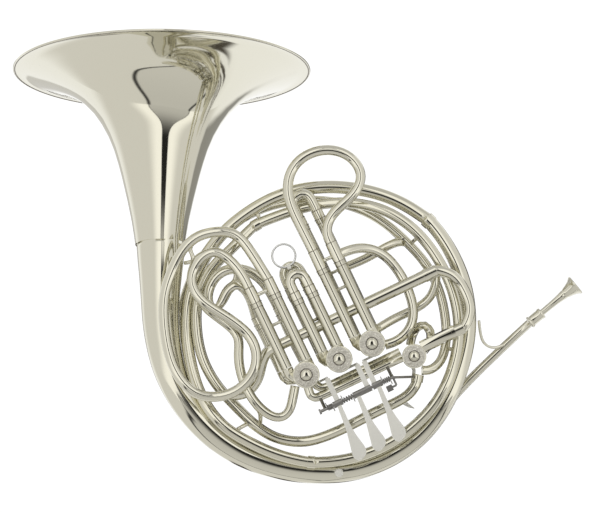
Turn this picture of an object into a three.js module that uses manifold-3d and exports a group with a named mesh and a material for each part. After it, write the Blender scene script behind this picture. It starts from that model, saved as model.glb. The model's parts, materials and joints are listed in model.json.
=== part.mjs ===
// A double french horn in polished nickel silver, with its bell up and its valves facing the viewer.
// The coils lie in the XZ plane, Y is the depth, and the viewer looks along +Y. Lengths are in millimetres.
// Places on the coils are shares of the ring's radius, and depths are shares of the step between two layers.
import * as THREE from 'three';
import { mergeVertices } from 'three/addons/utils/BufferGeometryUtils.js';
import Module from 'manifold-3d';

const wasm = await Module();
wasm.setup();

// The ring of tubes and the bell
const ringRadius = 155.5;
const layerDepth = 14.5;
const bellRadius = 155.5;
const bellWall = 1.2;
const rimBead = 2.4;
const throatRadius = 25.7;
const outerTubeRadius = 7.1;
const innerTubeRadius = 5.6;
const leadTubeRadius = 5;
const leadpipeRadius = 4.3;
const sideTubeRadius = 5.2;
const linkTubeRadius = 4.6;
const bowTubeRadius = 4.6;
const collarHeight = 0.9;
const collarLength = 7;
const strutRadius = 1.9;
const wireBraceRadius = 1.5;
const hookFlangeRadius = 4.5;
const hookFlangeHeight = 2.5;

// Clearances
const fitGap = 0.3;
const cutOverrun = 2;
const mergeDistance = 0.0001;

// The three valves in a row, and the change valve
const rowTilt = 25.5;
const valvePitch = 37.7;
const changeAlong = 71.5;
const changeDrop = 30.7;
const casingRadius = 13.2;
const changeCasingRadius = 11.8;
const casingWall = 2.2;
const casingHalfLength = 30;
const rotorEnd = 2.6;
const stemRadius = 2.2;
const capThickness = 3.6;
const capOverhang = 0.8;
const capBossRadius = 5;
const capBossHeight = 2.4;
const plateThickness = 2.5;
const bumperRadius = 2.2;
const bumperHeight = 3.7;
const bumperReach = 9;
const stopArmThickness = 3;
const stopArmWidth = 4;
const stopArmReach = 10.4;
const hubRadius = 4.6;
const hubLength = 14.5;
const quarterTurn = 90;

// Slides: legs of the moving crooks run in sleeves that stand on the casings' knuckles
const sleeveRadius = 6.2;
const sleeveWall = 0.7;
const legRadius = 5.15;
const crookRadius = 5.5;
const ferruleRadius = 6;
const sleeveFoot = 14.5;
const sleeveCollarLength = 4;
const sleeveCollarHeight = 0.5;
const kneeRadius = 5.8;

// Main tuning slide
const tuningSleeveRadius = 6.6;
const tuningCrookRadius = 5.7;
const tuningLegRadius = 5.4;
const tuningUpperUp = 39.4;
const tuningLowerUp = -26;
const tuningMouth = 121;
const tuningBend = 24;
const tuningReach = 148;
const tuningFerruleLength = 9;
const tuningInsert = 32;
const tuningUpperStart = 51.6;
const crossoverRadius = 5.8;
const crossoverEnd = -60;

// Levers
const hingeUp = -40.8;
const hingeDepth = -22;
const hingeRodRadius = 1.6;
const hingeRodLeft = -42;
const hingeRodRight = 43.5;
const hingeKnobRadius = 2.8;
const hingeKnobLength = 4;
const barrelRadius = 3.4;
const paddleLength = 63.3;
const paddleWidth = 15.8;
const paddleThickness = 1.7;
const stringBarWidth = 5.4;
const stringBarThickness = 1.8;
const postRadius = 1.5;
const postUp = -13;
const stringBarTop = 7;
const stringRodWidth = 2.4;
const springRadius = 3;
const springWire = 0.45;
const restBlockSize = 6.5;
const restBlockDrop = 9.1;
const stayRadius = 1.3;
const thumbPinRadius = 1.9;
const thumbFootRadius = 3.6;
const thumbFootHeight = 3;
const thumbPlate = 2;
const thumbBossRadius = 4.6;

// Pull ring on the rear second slide
const pullRingRadius = 12.4;
const pullRingWire = 1.1;
const pullEyeWidth = 4;
const pullEyeWall = 1.1;

// Mouthpiece and receiver
const receiverRadius = 5.6;
const receiverBore = 3.7;
const receiverLength = 17;
const receiverRing = 6.6;
const receiverRingLength = 2.5;
const mouthpieceRim = 11;
const mouthpieceCup = 8.6;
const mouthpieceCupDepth = 13;
const mouthpieceThroat = 1.7;
const mouthpieceShank = 3.2;
const mouthpieceReach = 63.4;
const mouthpieceInsert = 9;

// Facets
const fatSides = 12;
const tubeSides = 8;
const wireSides = 6;
const bellSides = 28;
const roundSides = 16;
const springSides = 5;
const springSteps = 8;
const springCurls = 4;

const silver = { color: 0xd9d4c7, roughness: 0.16, metalness: 1 };
const satin = { color: 0xcfcdc2, roughness: 0.42, metalness: 1 };
const steel = { color: 0x5d5c58, roughness: 0.38, metalness: 1 };
const wireFinish = { color: 0xc4c7cb, roughness: 0.22, metalness: 1 };

const horn = new THREE.Group();
horn.name = 'double_french_horn';

// Solids

// A place by shares of the ring's radius across and up, and a share of the layer step in depth.
const spot = (xShare, depthShare, zShare) => new THREE.Vector3(
  xShare * ringRadius,
  depthShare * layerDepth,
  zShare * ringRadius,
);

// A place on the coils: an angle about the ring's centre, a share of its radius and a depth share.
function ringSpot([angle, radiusShare, depthShare]) {
  const turn = THREE.MathUtils.degToRad(angle);
  return spot(radiusShare * Math.cos(turn), depthShare, radiusShare * Math.sin(turn));
}

// A closed skin over rings of points: each station has a point, a tangent, a radius and, if hollow, a bore.
function skin(stations, sides = tubeSides) {
  const hollow = stations[0].bore > 0;
  const positions = [];
  const faces = [];
  let normal = Math.abs(stations[0].tangent.y) < Math.SQRT1_2
    ? new THREE.Vector3(0, 1, 0)
    : new THREE.Vector3(1, 0, 0);
  for (const { point, tangent, radius, bore } of stations) {
    normal = normal.clone().addScaledVector(tangent, -normal.dot(tangent)).normalize();
    const across = tangent.clone().cross(normal);
    for (const reach of hollow ? [radius, bore] : [radius]) {
      for (let side = 0; side < sides; side += 1) {
        const turn = (2 * Math.PI * side) / sides;
        const spoke = point.clone()
          .addScaledVector(normal, reach * Math.cos(turn))
          .addScaledVector(across, reach * Math.sin(turn));
        positions.push(spoke.x, spoke.y, spoke.z);
      }
    }
  }
  const ringSize = hollow ? 2 * sides : sides;
  const last = (stations.length - 1) * ringSize;
  for (let side = 0; side < sides; side += 1) {
    const next = (side + 1) % sides;
    for (let start = 0; start < last; start += ringSize) {
      const [a, b] = [start + side, start + next];
      faces.push(a, b, b + ringSize, a, b + ringSize, a + ringSize);
      if (hollow) {
        const [c, d] = [a + sides, b + sides];
        faces.push(c, d + ringSize, d, c, c + ringSize, d + ringSize);
      }
    }
    if (hollow) {
      faces.push(side, side + sides, next + sides, side, next + sides, next);
      faces.push(last + side, last + next + sides, last + side + sides);
      faces.push(last + side, last + next, last + next + sides);
    } else if (side > 0 && side < sides - 1) {
      faces.push(0, side + 1, side, last, last + side, last + side + 1);
    }
  }
  const geometry = new THREE.BufferGeometry();
  geometry.setAttribute('position', new THREE.Float32BufferAttribute(positions, 3));
  geometry.setIndex(faces);
  return geometry;
}

// Stations at the two ends of a straight run, with collars as [start, end, height] along it.
function straightStations(from, to, radius, { bore = 0, collars = [] } = {}) {
  const tangent = to.clone().sub(from).normalize();
  const station = (distance, reach) => ({
    point: from.clone().addScaledVector(tangent, distance), tangent, radius: reach, bore,
  });
  const stations = [station(0, radius)];
  for (const [start, end, height] of collars) {
    if (start > 0) stations.push(station(start, radius));
    else stations.pop();
    stations.push(station(start, radius + height), station(end, radius + height));
    if (end < from.distanceTo(to)) stations.push(station(end, radius));
  }
  if (!collars.length || collars.at(-1)[1] < from.distanceTo(to)) {
    stations.push(station(from.distanceTo(to), radius));
  }
  return stations;
}

const rod = (from, to, radius, sides = wireSides) => skin(straightStations(from, to, radius), sides);

// No station of a curve stands nearer to its end than this share of a step.
const endShare = 0.25;

// Stations on a smooth curve through points, from one of them to another, with radii that go with the points.
function curveStations(points, radii, { from = 0, to = points.length - 1, perSpan = 1, collars = [] } = {}) {
  const curve = new THREE.CatmullRomCurve3(points, false, 'centripetal');
  const spans = points.length - 1;
  const radiusAt = (place) => {
    const low = Math.min(Math.floor(place), spans - 1);
    return THREE.MathUtils.lerp(radii[low], radii[low + 1], place - low);
  };
  const station = (place, added = 0) => ({
    point: curve.getPoint(place / spans),
    tangent: curve.getTangent(place / spans),
    radius: radiusAt(place) + added,
    bore: 0,
  });
  const spanAt = (place) => {
    const low = Math.min(Math.floor(place), spans - 1);
    return points[low].distanceTo(points[low + 1]);
  };
  const places = [{ place: from, added: 0 }, { place: to, added: 0 }];
  for (let step = Math.ceil(from * perSpan + endShare); step < to * perSpan - endShare; step += 1) {
    places.push({ place: step / perSpan, added: 0 });
  }
  for (const { at, length, height } of collars) {
    const half = length / 2 / spanAt(at);
    const low = Math.max(from, at - half);
    const high = Math.min(to, at + half);
    for (let index = places.length - 1; index >= 0; index -= 1) {
      if (places[index].place >= low && places[index].place <= high) places.splice(index, 1);
    }
    if (low > from) places.push({ place: low, added: 0, order: 0 });
    places.push({ place: low, added: height, order: 1 }, { place: high, added: height, order: 2 });
    if (high < to) places.push({ place: high, added: 0, order: 3 });
  }
  places.sort((a, b) => a.place - b.place || a.order - b.order);
  return places.map(({ place, added }) => station(place, added));
}

// A lathe solid about the Y axis from a closed outline of [radius, height] points.
function turned(outline, sides = roundSides) {
  const area = outline.reduce((sum, [r, h], index) => {
    const [nextR, nextH] = outline[(index + 1) % outline.length];
    return sum + r * nextH - nextR * h;
  }, 0);
  const ordered = area > 0 ? outline : [...outline].reverse();
  const points = [...ordered, ordered[0]].map(([r, h]) => new THREE.Vector2(r, h));
  return new THREE.LatheGeometry(points, sides);
}

// A flat plate from an outline in the XZ plane, thick along Y.
const plate = (outline, thickness) => new THREE.ExtrudeGeometry(
  new THREE.Shape(outline),
  { depth: thickness, bevelEnabled: false },
).rotateX(Math.PI / 2).translate(0, thickness, 0);

// A flat blade along a line of [across, up] points with a width at each.
function blade(line, widths, thickness) {
  const left = [];
  const right = [];
  line.forEach(([x, z], index) => {
    const before = line[Math.max(index - 1, 0)];
    const after = line[Math.min(index + 1, line.length - 1)];
    const run = new THREE.Vector2(after[0] - before[0], after[1] - before[1]).normalize();
    const half = widths[index] / 2;
    left.push(new THREE.Vector2(x - run.y * half, z + run.x * half));
    right.push(new THREE.Vector2(x + run.y * half, z - run.x * half));
  });
  return plate([...right, ...left.reverse()], thickness);
}

const box = (x, y, z, centre) => new THREE.BoxGeometry(x, y, z).translate(centre.x, centre.y, centre.z);

function solidOf(geometry) {
  const plain = new THREE.BufferGeometry();
  plain.setAttribute('position', geometry.getAttribute('position').clone());
  if (geometry.index) plain.setIndex(geometry.index.clone());
  const merged = mergeVertices(plain, mergeDistance);
  return new wasm.Manifold(new wasm.Mesh({
    numProp: 3,
    vertProperties: new Float32Array(merged.attributes.position.array),
    triVerts: new Uint32Array(merged.index.array),
  }));
}

function geometryOf(solid) {
  const mesh = solid.getMesh();
  const geometry = new THREE.BufferGeometry();
  geometry.setAttribute('position', new THREE.BufferAttribute(new Float32Array(mesh.vertProperties), 3));
  geometry.setIndex(new THREE.BufferAttribute(new Uint32Array(mesh.triVerts), 1));
  return geometry;
}

const join = (...pieces) => geometryOf(pieces.map(solidOf).reduce((whole, piece) => whole.add(piece)));
const cut = (base, ...tools) => geometryOf(
  tools.map(solidOf).reduce((left, tool) => left.subtract(tool), solidOf(base)),
);

function addPiece(parent, name, geometry, finish) {
  const mesh = new THREE.Mesh(geometry, new THREE.MeshStandardMaterial(finish));
  mesh.name = name;
  geometry.computeVertexNormals();
  parent.add(mesh);
  return mesh;
}

// A strut from inside one tube towards the middle of another, which stops short of its wall.
const strut = (from, to, farRadius, radius = strutRadius) => rod(
  from,
  to.clone().addScaledVector(from.clone().sub(to).normalize(), farRadius + fitGap),
  radius,
);

// Bell and bell branch

const rimShares = [-1.023, 6, 1.75];
const throatShares = [-1.03, 2.68, 0.567];
const rimCentre = spot(...rimShares);
const throatJoint = spot(...throatShares);
const bellAxis = rimCentre.clone().sub(throatJoint);
const bellLength = bellAxis.length();
bellAxis.normalize();

// Distance from the rim as a share of the bell's length, and radius as a share of the bell's radius.
const bellProfileShares = [
  [0.025, 0.9],
  [0.066, 0.76],
  [0.123, 0.62],
  [0.186, 0.52],
  [0.311, 0.4],
  [0.465, 0.313],
  [0.615, 0.26],
  [0.748, 0.221],
  [0.918, 0.18],
];

function bellGeometry() {
  const outside = bellProfileShares.map(([downShare, radiusShare]) => new THREE.Vector2(
    radiusShare * bellRadius,
    (1 - downShare) * bellLength,
  ));
  outside.unshift(new THREE.Vector2(bellRadius - rimBead, bellLength - rimBead / 2));
  outside.push(new THREE.Vector2(throatRadius, fitGap));
  const inside = outside.map((point, index) => {
    const run = outside[Math.min(index + 1, outside.length - 1)].clone().sub(outside[Math.max(index - 1, 0)]);
    run.normalize();
    return new THREE.Vector2(point.x + run.y * bellWall, point.y - run.x * bellWall);
  });
  inside.at(-1).y = outside.at(-1).y;
  inside[0].y = bellLength;
  const rim = [
    [bellRadius, bellLength],
    [bellRadius, bellLength - rimBead],
    [bellRadius - rimBead, bellLength - rimBead],
  ];
  const walls = [...outside.slice(1), ...inside.reverse()].map((point) => [point.x, point.y]);
  return turned([...rim, ...walls], bellSides);
}

const bell = addPiece(horn, 'bell', bellGeometry(), silver);
bell.position.copy(throatJoint);
bell.quaternion.setFromUnitVectors(new THREE.Vector3(0, 1, 0), bellAxis);

// The bell branch: two places on the bell's axis, the bend into the ring, then an angle, a radius share and
// a depth share every 15 degrees.
const branchBendShares = [[-1.032, 2.18, 0.367], [-1.034, 2.02, 0.2]];
const branchRingShares = [
  [180, 1.027, 2],
  [195, 1.009, 2],
  [210, 0.99, 2],
  [225, 0.975, 2],
  [240, 0.962, 2],
  [255, 0.95, 2],
  [270, 0.953, 2],
  [285, 0.973, 2],
  [300, 0.989, 2],
  [315, 1, 2],
  [330, 1, 2],
  [345, 1.005, 2],
  [360, 1.027, 2],
  [375, 1.043, 2],
  [390, 1.05, 2],
  [405, 1.05, 2],
  [420, 1.017, 2],
];
const branchTaperShares = [
  1, 1, 0.87, 0.78, 0.727, 0.668, 0.605, 0.565, 0.525, 0.49, 0.466, 0.436, 0.412, 0.39, 0.37, 0.345, 0.323,
  0.307, 0.292, 0.284, 0.28,
];

// The thinner coils go on from there for almost two turns, down to the change valve.
const coilShares = [
  [390, 1.05, 2],
  [405, 1.05, 2],
  [420, 1.017, 2],
  [435, 0.98, 2],
  [450, 0.953, 2],
  [465, 0.93, 2],
  [480, 0.904, 2],
  [495, 0.893, 2],
  [510, 0.878, 2],
  [525, 0.873, 2],
  [540, 0.86, 1.95],
  [555, 0.86, 1.45],
  [570, 0.88, 1.03],
  [585, 0.89, 0.9],
  [600, 0.87, 0.9],
  [615, 0.873, 0.9],
  [630, 0.885, 0.9],
  [645, 0.893, 0.9],
  [660, 0.905, 0.9],
  [675, 0.923, 0.9],
  [690, 0.945, 0.9],
  [705, 0.955, 0.92],
  [720, 0.963, 0.93],
  [735, 0.957, 0.93],
  [750, 0.948, 0.93],
  [765, 0.944, 0.96],
  [780, 0.925, 1.1],
  [795, 0.88, 1.5],
  [807, 0.842, 1.85],
  [817, 0.815, 1.93],
  [828, 0.8, 1.95],
  [841, 0.802, 1.93],
  [855, 0.775, 1.6],
  [870, 0.805, 1.45],
  [885, 0.81, 1.45],
  [900, 0.79, 1.45],
  [915, 0.775, 1.48],
  [930, 0.752, 1.52],
  [945, 0.735, 1.52],
  [960, 0.755, 1.4],
  [972, 0.768, 1.35],
  [985, 0.75, 1.3],
  [998, 0.707, 1.2],
  [1013, 0.675, 1.1],
  [1029, 0.687, 1.05],
  [1043, 0.752, 1],
  [1051, 0.767, 1],
  [1056.5, 0.75, 1],
];
const coilPoints = coilShares.map(ringSpot);
const coilRadii = coilShares.map((row, index) => THREE.MathUtils.lerp(
  outerTubeRadius,
  innerTubeRadius,
  Math.min(1, (2 * index) / (coilShares.length - 1)),
));
const placeOfAngle = (rows, angle) => {
  const high = rows.findIndex((row) => (row[0] - angle) * (rows[1][0] - rows[0][0]) >= 0);
  const low = Math.max(high - 1, 0);
  return low + (angle - rows[low][0]) / (rows[low + 1][0] - rows[low][0]);
};
const coilCurve = new THREE.CatmullRomCurve3(coilPoints, false, 'centripetal');
const coilPoint = (angle) => coilCurve.getPoint(placeOfAngle(coilShares, angle) / (coilShares.length - 1));

const branchPoints = [
  rimCentre,
  throatJoint,
  ...branchBendShares.map((row) => spot(...row)),
  ...branchRingShares.map(ringSpot),
];
const branchRadii = branchTaperShares.map((share) => share * throatRadius);
const branchStart = branchPoints.length - branchRingShares.length;
const branchPlace = (angle) => branchStart + placeOfAngle(branchRingShares, angle);
const branchCurve = new THREE.CatmullRomCurve3(branchPoints, false, 'centripetal');
const branchPoint = (angle) => branchCurve.getPoint(branchPlace(angle) / (branchPoints.length - 1));

const branchRadius = (angle) => {
  const place = branchPlace(angle);
  const low = Math.floor(place);
  return THREE.MathUtils.lerp(branchRadii[low], branchRadii[low + 1], place - low);
};

const hookFlangeShares = [279.6, 0.969, 2];
function bellBranchGeometry() {
  const stations = curveStations(branchPoints, branchRadii, {
    from: 1,
    to: branchPoints.length - 2,
    perSpan: 2,
    collars: [{ at: branchPoints.length - 2, length: 2 * collarLength, height: collarHeight }],
  });
  stations[0].tangent = bellAxis.clone().negate();
  const tube = skin(stations, fatSides);
  const base = ringSpot(hookFlangeShares);
  const face = base.clone();
  face.y -= branchRadius(hookFlangeShares[0]) + hookFlangeHeight;
  return join(tube, rod(base, face, hookFlangeRadius, roundSides / 2));
}
addPiece(horn, 'bell_branch', bellBranchGeometry(), silver);

// One stretch of the thinner coils, with a collar at its far end.
const coilStretch = (fromAngle, toAngle) => {
  const from = placeOfAngle(coilShares, fromAngle);
  const to = placeOfAngle(coilShares, toAngle);
  const collars = [{ at: to, length: 2 * collarLength, height: collarHeight }];
  return skin(curveStations(coilPoints, coilRadii, { from, to, perSpan: 2, collars }));
};
const coilJointAngles = [405.2, 630, 841];
const coilEndAngle = 1056.5;
const innermostShare = 0.8;
const jointGapAngle = THREE.MathUtils.radToDeg(fitGap / (innermostShare * ringRadius));

const bellBraceAngle = 508;
const bellBraceShares = [-1.036, 2.35, 0.42];
const topBraceAngles = [477, 836];
const lowerBraceAngles = [591, 955];
addPiece(horn, 'outer_branch', join(
  coilStretch(coilJointAngles[0], coilJointAngles[1] - jointGapAngle),
  strut(coilPoint(bellBraceAngle), spot(...bellBraceShares), throatRadius, strutRadius),
  strut(coilPoint(topBraceAngles[0]), coilPoint(topBraceAngles[1]), innerTubeRadius),
), silver);

const leadShares = [
  [230, 0.972, 3.43],
  [225, 0.975, 3.45],
  [210, 0.965, 3.5],
  [195, 0.945, 3.5],
  [180, 0.925, 3.4],
  [165, 0.905, 3.3],
  [150, 0.9, 3.25],
  [135, 0.9, 3.2],
  [120, 0.9, 3.15],
  [105, 0.885, 2.95],
  [90, 0.875, 2.7],
  [75, 0.873, 2.5],
  [60, 0.865, 2.3],
  [45, 0.852, 2.25],
  [30, 0.873, 2.25],
  [15, 0.883, 2.25],
  [0, 0.883, 2.15],
  [-9, 0.883, 1.8],
  [-15.2, 0.864, 1.4],
  [-19.6, 0.814, 1.1],
  [-20.6, 0.765, 1],
];
const leadPoints = leadShares.map(ringSpot);
const leadCurve = new THREE.CatmullRomCurve3(leadPoints, false, 'centripetal');
const leadPoint = (angle) => leadCurve.getPoint(placeOfAngle(leadShares, angle) / (leadShares.length - 1));

const leadCollarAngle = 224;
const rightBraceAngles = [-8, 712];
const upperBraceAngles = [42, 762];
addPiece(horn, 'lead_branch', skin(curveStations(
  leadPoints,
  leadPoints.map(() => leadTubeRadius),
  {
    from: 1,
    collars: [{ at: placeOfAngle(leadShares, leadCollarAngle), length: collarLength, height: collarHeight }],
  },
)), silver);
addPiece(horn, 'middle_branch', join(
  coilStretch(coilJointAngles[1], coilJointAngles[2] - jointGapAngle),
  ...[rightBraceAngles, upperBraceAngles].map(([leadAngle, coilAngle]) => strut(
    coilPoint(coilAngle),
    leadPoint(leadAngle),
    leadTubeRadius,
  )),
), silver);

// Leadpipe, receiver, mouthpiece and the wire brace between the ring and the leadpipe

const leadpipeShares = [[1.433, 3, 0.043], [1.213, 3.05, -0.16], [1.035, 3.1, -0.333]];
const leadpipeRingShares = [
  [-28, 1.02, 3.15],
  [-40, 1.005, 3.15],
  [-55, 0.985, 3.15],
  [-70, 0.965, 3.2],
  [-85, 0.957, 3.25],
  [-100, 0.957, 3.3],
  [-115, 0.963, 3.38],
  [-130, 0.972, 3.43],
  [-135, 0.975, 3.45],
  [-150, 0.965, 3.5],
];
const leadpipePoints = [
  ...leadpipeShares.map((row) => spot(...row)),
  ...leadpipeRingShares.map(ringSpot),
];
const leadpipeRadii = leadpipePoints.map((point, index) => THREE.MathUtils.lerp(
  leadpipeRadius,
  leadTubeRadius,
  index / (leadpipePoints.length - 1),
));
const leadBraceShares = [-62, 0.975, 3.17];
const leadpipeLastSpan = leadpipePoints.at(-2).distanceTo(leadpipePoints.at(-3));
const leadpipeTo = leadpipePoints.length - 2 - (2 * fitGap) / leadpipeLastSpan;
addPiece(horn, 'leadpipe', join(
  skin(curveStations(leadpipePoints, leadpipeRadii, { to: leadpipeTo })),
  strut(
    ringSpot(leadBraceShares),
    branchPoint(360 + leadBraceShares[0]),
    branchRadius(360 + leadBraceShares[0]),
  ),
), silver);

const mouthFrom = leadpipePoints[0];
const mouthTowardsShares = [1.747, 3, 0.303];
const mouthDirection = spot(...mouthTowardsShares).sub(mouthFrom).normalize();
const along = (from, direction, distance) => from.clone().addScaledVector(direction, distance);
const mouthTurn = new THREE.Quaternion().setFromUnitVectors(new THREE.Vector3(0, 1, 0), mouthDirection);

const receiver = addPiece(horn, 'mouthpiece_receiver', turned([
  [receiverBore, 0],
  [receiverRing, 0],
  [receiverRing, receiverRingLength],
  [receiverRadius, receiverRingLength],
  [receiverRadius, receiverLength],
  [receiverBore, receiverLength],
], roundSides / 2), silver);
receiver.position.copy(along(mouthFrom, mouthDirection, 2 * fitGap));
receiver.quaternion.copy(mouthTurn);

const mouthpieceLength = mouthpieceReach - receiverLength + mouthpieceInsert;
// Distance below the rim as a share of the mouthpiece's length, and radius as a share of the rim's.
const mouthpieceShares = [[0.03, 1], [0.06, 0.86], [0.14, 0.62], [0.28, 0.42], [0.45, 0.31]];
const mouthpiece = addPiece(horn, 'mouthpiece', turned([
  [mouthpieceThroat, 0],
  [mouthpieceShank, 0],
  ...mouthpieceShares.map(([downShare, radiusShare]) => [
    radiusShare * mouthpieceRim,
    (1 - downShare) * mouthpieceLength,
  ]).reverse(),
  [mouthpieceRim, mouthpieceLength],
  [mouthpieceCup, mouthpieceLength],
  [mouthpieceThroat, mouthpieceLength - mouthpieceCupDepth],
], roundSides), silver);
mouthpiece.position.copy(along(mouthFrom, mouthDirection, receiverLength - mouthpieceInsert));
mouthpiece.quaternion.copy(mouthTurn);

const wireBraceShares = [
  [1.0965, 2.05, 0.06],
  [1.105, 2.2, -0.03],
  [1.125, 2.4, -0.09],
  [1.17, 2.5, -0.12],
  [1.22, 2.58, -0.12],
  [1.262, 2.63, -0.1],
];
addPiece(horn, 'leadpipe_wire_brace', skin(curveStations(
  wireBraceShares.map((row) => spot(...row)),
  wireBraceShares.map(() => wireBraceRadius),
), wireSides), silver);

// The valve section: X runs along the row of valves, Y is the depth and Z runs up the slides

const valveSection = new THREE.Group();
const secondValveShares = [0.16, 0, -0.193];
valveSection.position.copy(spot(...secondValveShares));
valveSection.rotation.y = -THREE.MathUtils.degToRad(rowTilt);
horn.add(valveSection);
valveSection.updateMatrixWorld(true);
const sectionPoint = (...shares) => valveSection.worldToLocal(spot(...shares));
const vec = (x, y, z) => new THREE.Vector3(x, y, z);
const frontDepth = -layerDepth;
const rearDepth = layerDepth;

const valves = [
  { name: 'first', along: valvePitch, up: 0, radius: casingRadius, stringSide: -1 },
  { name: 'second', along: 0, up: 0, radius: casingRadius, stringSide: 1 },
  { name: 'third', along: -valvePitch, up: 0, radius: casingRadius, stringSide: 1 },
  { name: 'change', along: changeAlong, up: -changeDrop, radius: changeCasingRadius, stringSide: -1 },
];

// Legs beside the slide's valve are shares of the valve pitch. The sleeves' mouth, the ferrule, the leg inside
// the sleeve and the crown of a plain bow are shares of the ring's radius. A brace's is of the way up a sleeve.
const slideShares = {
  first_f: { legs: [-0.363, 0.17], mouth: 0.588, ferrule: 0.135, insert: 0.386, brace: 0.66 },
  second_f: { legs: [-0.332, 0.117], mouth: 0.476, ferrule: 0.051, insert: 0.296, brace: 0.4, crown: 0.639 },
  third_f: { legs: [-0.398, 0.18], mouth: 0.576, ferrule: 0.109, insert: 0.373, brace: 0.62 },
  first_bflat: { legs: [-0.318, 0.199], mouth: 0.9, ferrule: 0.058, insert: 0.386, brace: 0.55, crown: 1.106 },
  second_bflat: { legs: [-0.385, 0.085], mouth: 0.514, ferrule: 0.051, insert: 0.296, brace: 0.5, crown: 0.701 },
  third_bflat: { legs: [-0.557, 0.106], mouth: 0.437, ferrule: 0.051, insert: 0.283, brace: 0.5 },
};
const valveNamed = (name) => valves.find((valve) => valve.name === name);
const slideOf = (name, { legs, mouth, ferrule, insert, brace, crown = 0 }) => {
  const [valveName, side] = name.split('_');
  return {
    valve: valveNamed(valveName),
    legs: legs.map((share) => share * valvePitch),
    depth: side === 'f' ? frontDepth : rearDepth,
    mouth: mouth * ringRadius,
    ferrule: ferrule * ringRadius,
    insert: insert * ringRadius,
    crown: crown * ringRadius,
    brace,
  };
};
const slides = {};
for (const [name, row] of Object.entries(slideShares)) slides[name] = slideOf(name, row);

// The main tuning slide's lower sleeve stands out of the change valve's casing.
const tuningLevels = [tuningUpperUp, tuningLowerUp];
const tuningBore = tuningLegRadius + fitGap;
const tuningCollar = (length) => [[length - sleeveCollarLength, length, sleeveCollarHeight]];
const lowerSleeve = () => {
  const from = changeCasingRadius - casingWall / 2;
  const to = tuningMouth - changeAlong;
  return skin(straightStations(
    vec(from, 0, changeDrop + tuningLowerUp),
    vec(to, 0, changeDrop + tuningLowerUp),
    tuningSleeveRadius,
    { bore: tuningBore, collars: tuningCollar(to - from) },
  ));
};

// A small bow stands on the same casing; its places are shares of the casing's radius about the casing's axis.
const changeBowShares = [
  [0.1, 0.95],
  [0.715, 1.7],
  [1.395, 2.11],
  [2.008, 1.963],
  [2.217, 1.279],
  [1.761, 0.426],
  [0.95, -0.02],
];
const changeBow = () => {
  const depth = casingHalfLength - bowTubeRadius - fitGap;
  const points = changeBowShares.map(([x, z]) => vec(x * changeCasingRadius, depth, z * changeCasingRadius));
  return skin(curveStations(points, points.map(() => bowTubeRadius), { perSpan: 2 }));
};

// A casing is a tube about the rotor, with a knee or a straight knuckle under each slide leg.
function casingGeometry(valve) {
  const bore = valve.radius - casingWall;
  const tube = rod(
    vec(0, -casingHalfLength, 0),
    vec(0, casingHalfLength, 0),
    valve.radius,
    roundSides,
  );
  const knuckles = Object.values(slides).filter((slide) => slide.valve === valve).flatMap((slide) => (
    slide.legs.map((leg) => {
      const top = vec(leg, slide.depth, sleeveFoot - fitGap);
      if (leg > 0) return rod(top, vec(leg, slide.depth, 0), kneeRadius, tubeSides);
      const bend = [
        top,
        vec(leg, slide.depth, sleeveFoot / 2),
        vec(leg + casingWall, slide.depth, sleeveFoot / 5),
        vec(leg / 2, slide.depth, 0),
      ];
      return skin(curveStations(bend, bend.map(() => kneeRadius)));
    })
  ));
  const hollow = rod(
    vec(0, -casingHalfLength - cutOverrun, 0),
    vec(0, casingHalfLength + cutOverrun, 0),
    bore,
    roundSides,
  );
  const branches = valve.radius < casingRadius ? [lowerSleeve(), changeBow()] : [];
  return cut(join(tube, ...knuckles, ...branches), hollow);
}

// The rotor is a plug with a scalloped passage at each layer of slides, and a stem at the back.
function rotorGeometry(valve) {
  const radius = (valve.radius - casingWall) * Math.cos(Math.PI / roundSides) - fitGap;
  const half = casingHalfLength - rotorEnd;
  const plug = turned([
    [0, -casingHalfLength + fitGap],
    [stemRadius, -casingHalfLength + fitGap],
    [stemRadius, -half],
    [radius, -half],
    [radius, half],
    [stemRadius, half],
    [stemRadius, casingHalfLength + plateThickness + hubLength],
    [0, casingHalfLength + plateThickness + hubLength],
  ]);
  const scallops = [frontDepth, rearDepth].map((depth) => rod(
    vec(radius, depth, -2 * radius),
    vec(radius, depth, 2 * radius),
    radius / 2,
    tubeSides,
  ));
  return cut(plug, ...scallops);
}

function capGeometry(valve) {
  const front = -casingHalfLength - fitGap - capThickness;
  return turned([
    [0, -casingHalfLength - fitGap],
    [valve.radius + capOverhang, -casingHalfLength - fitGap],
    [valve.radius + capOverhang, front],
    [capBossRadius, front],
    [capBossRadius, front - capBossHeight],
    [0, front - capBossHeight],
  ]);
}

// The stop arm swings a quarter turn between two bumpers that stand on the rear plate.
const armRestAngle = 45;
const bumperAngle = THREE.MathUtils.radToDeg(
  Math.asin((stopArmWidth / 2 + bumperRadius + fitGap) / bumperReach),
);
const around = (reach, angle, depth) => vec(
  reach * Math.cos(THREE.MathUtils.degToRad(angle)),
  depth,
  reach * Math.sin(THREE.MathUtils.degToRad(angle)),
);
const plateFront = casingHalfLength + fitGap;
const plateBack = plateFront + plateThickness;
const stringDepth = casingHalfLength + hubLength;

function plateGeometry(valve) {
  const disc = turned([
    [stemRadius + fitGap, plateFront],
    [valve.radius, plateFront],
    [valve.radius, plateBack],
    [stemRadius + fitGap, plateBack],
  ]);
  const bumpers = [-1, 1].map((side) => {
    const swing = side * (bumperAngle + quarterTurn / 2) + armRestAngle + quarterTurn / 2;
    return rod(
      around(bumperReach, swing, plateFront + plateThickness / 2),
      around(bumperReach, swing, plateBack + bumperHeight),
      bumperRadius,
      tubeSides,
    );
  });
  return join(disc, ...bumpers);
}

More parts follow.
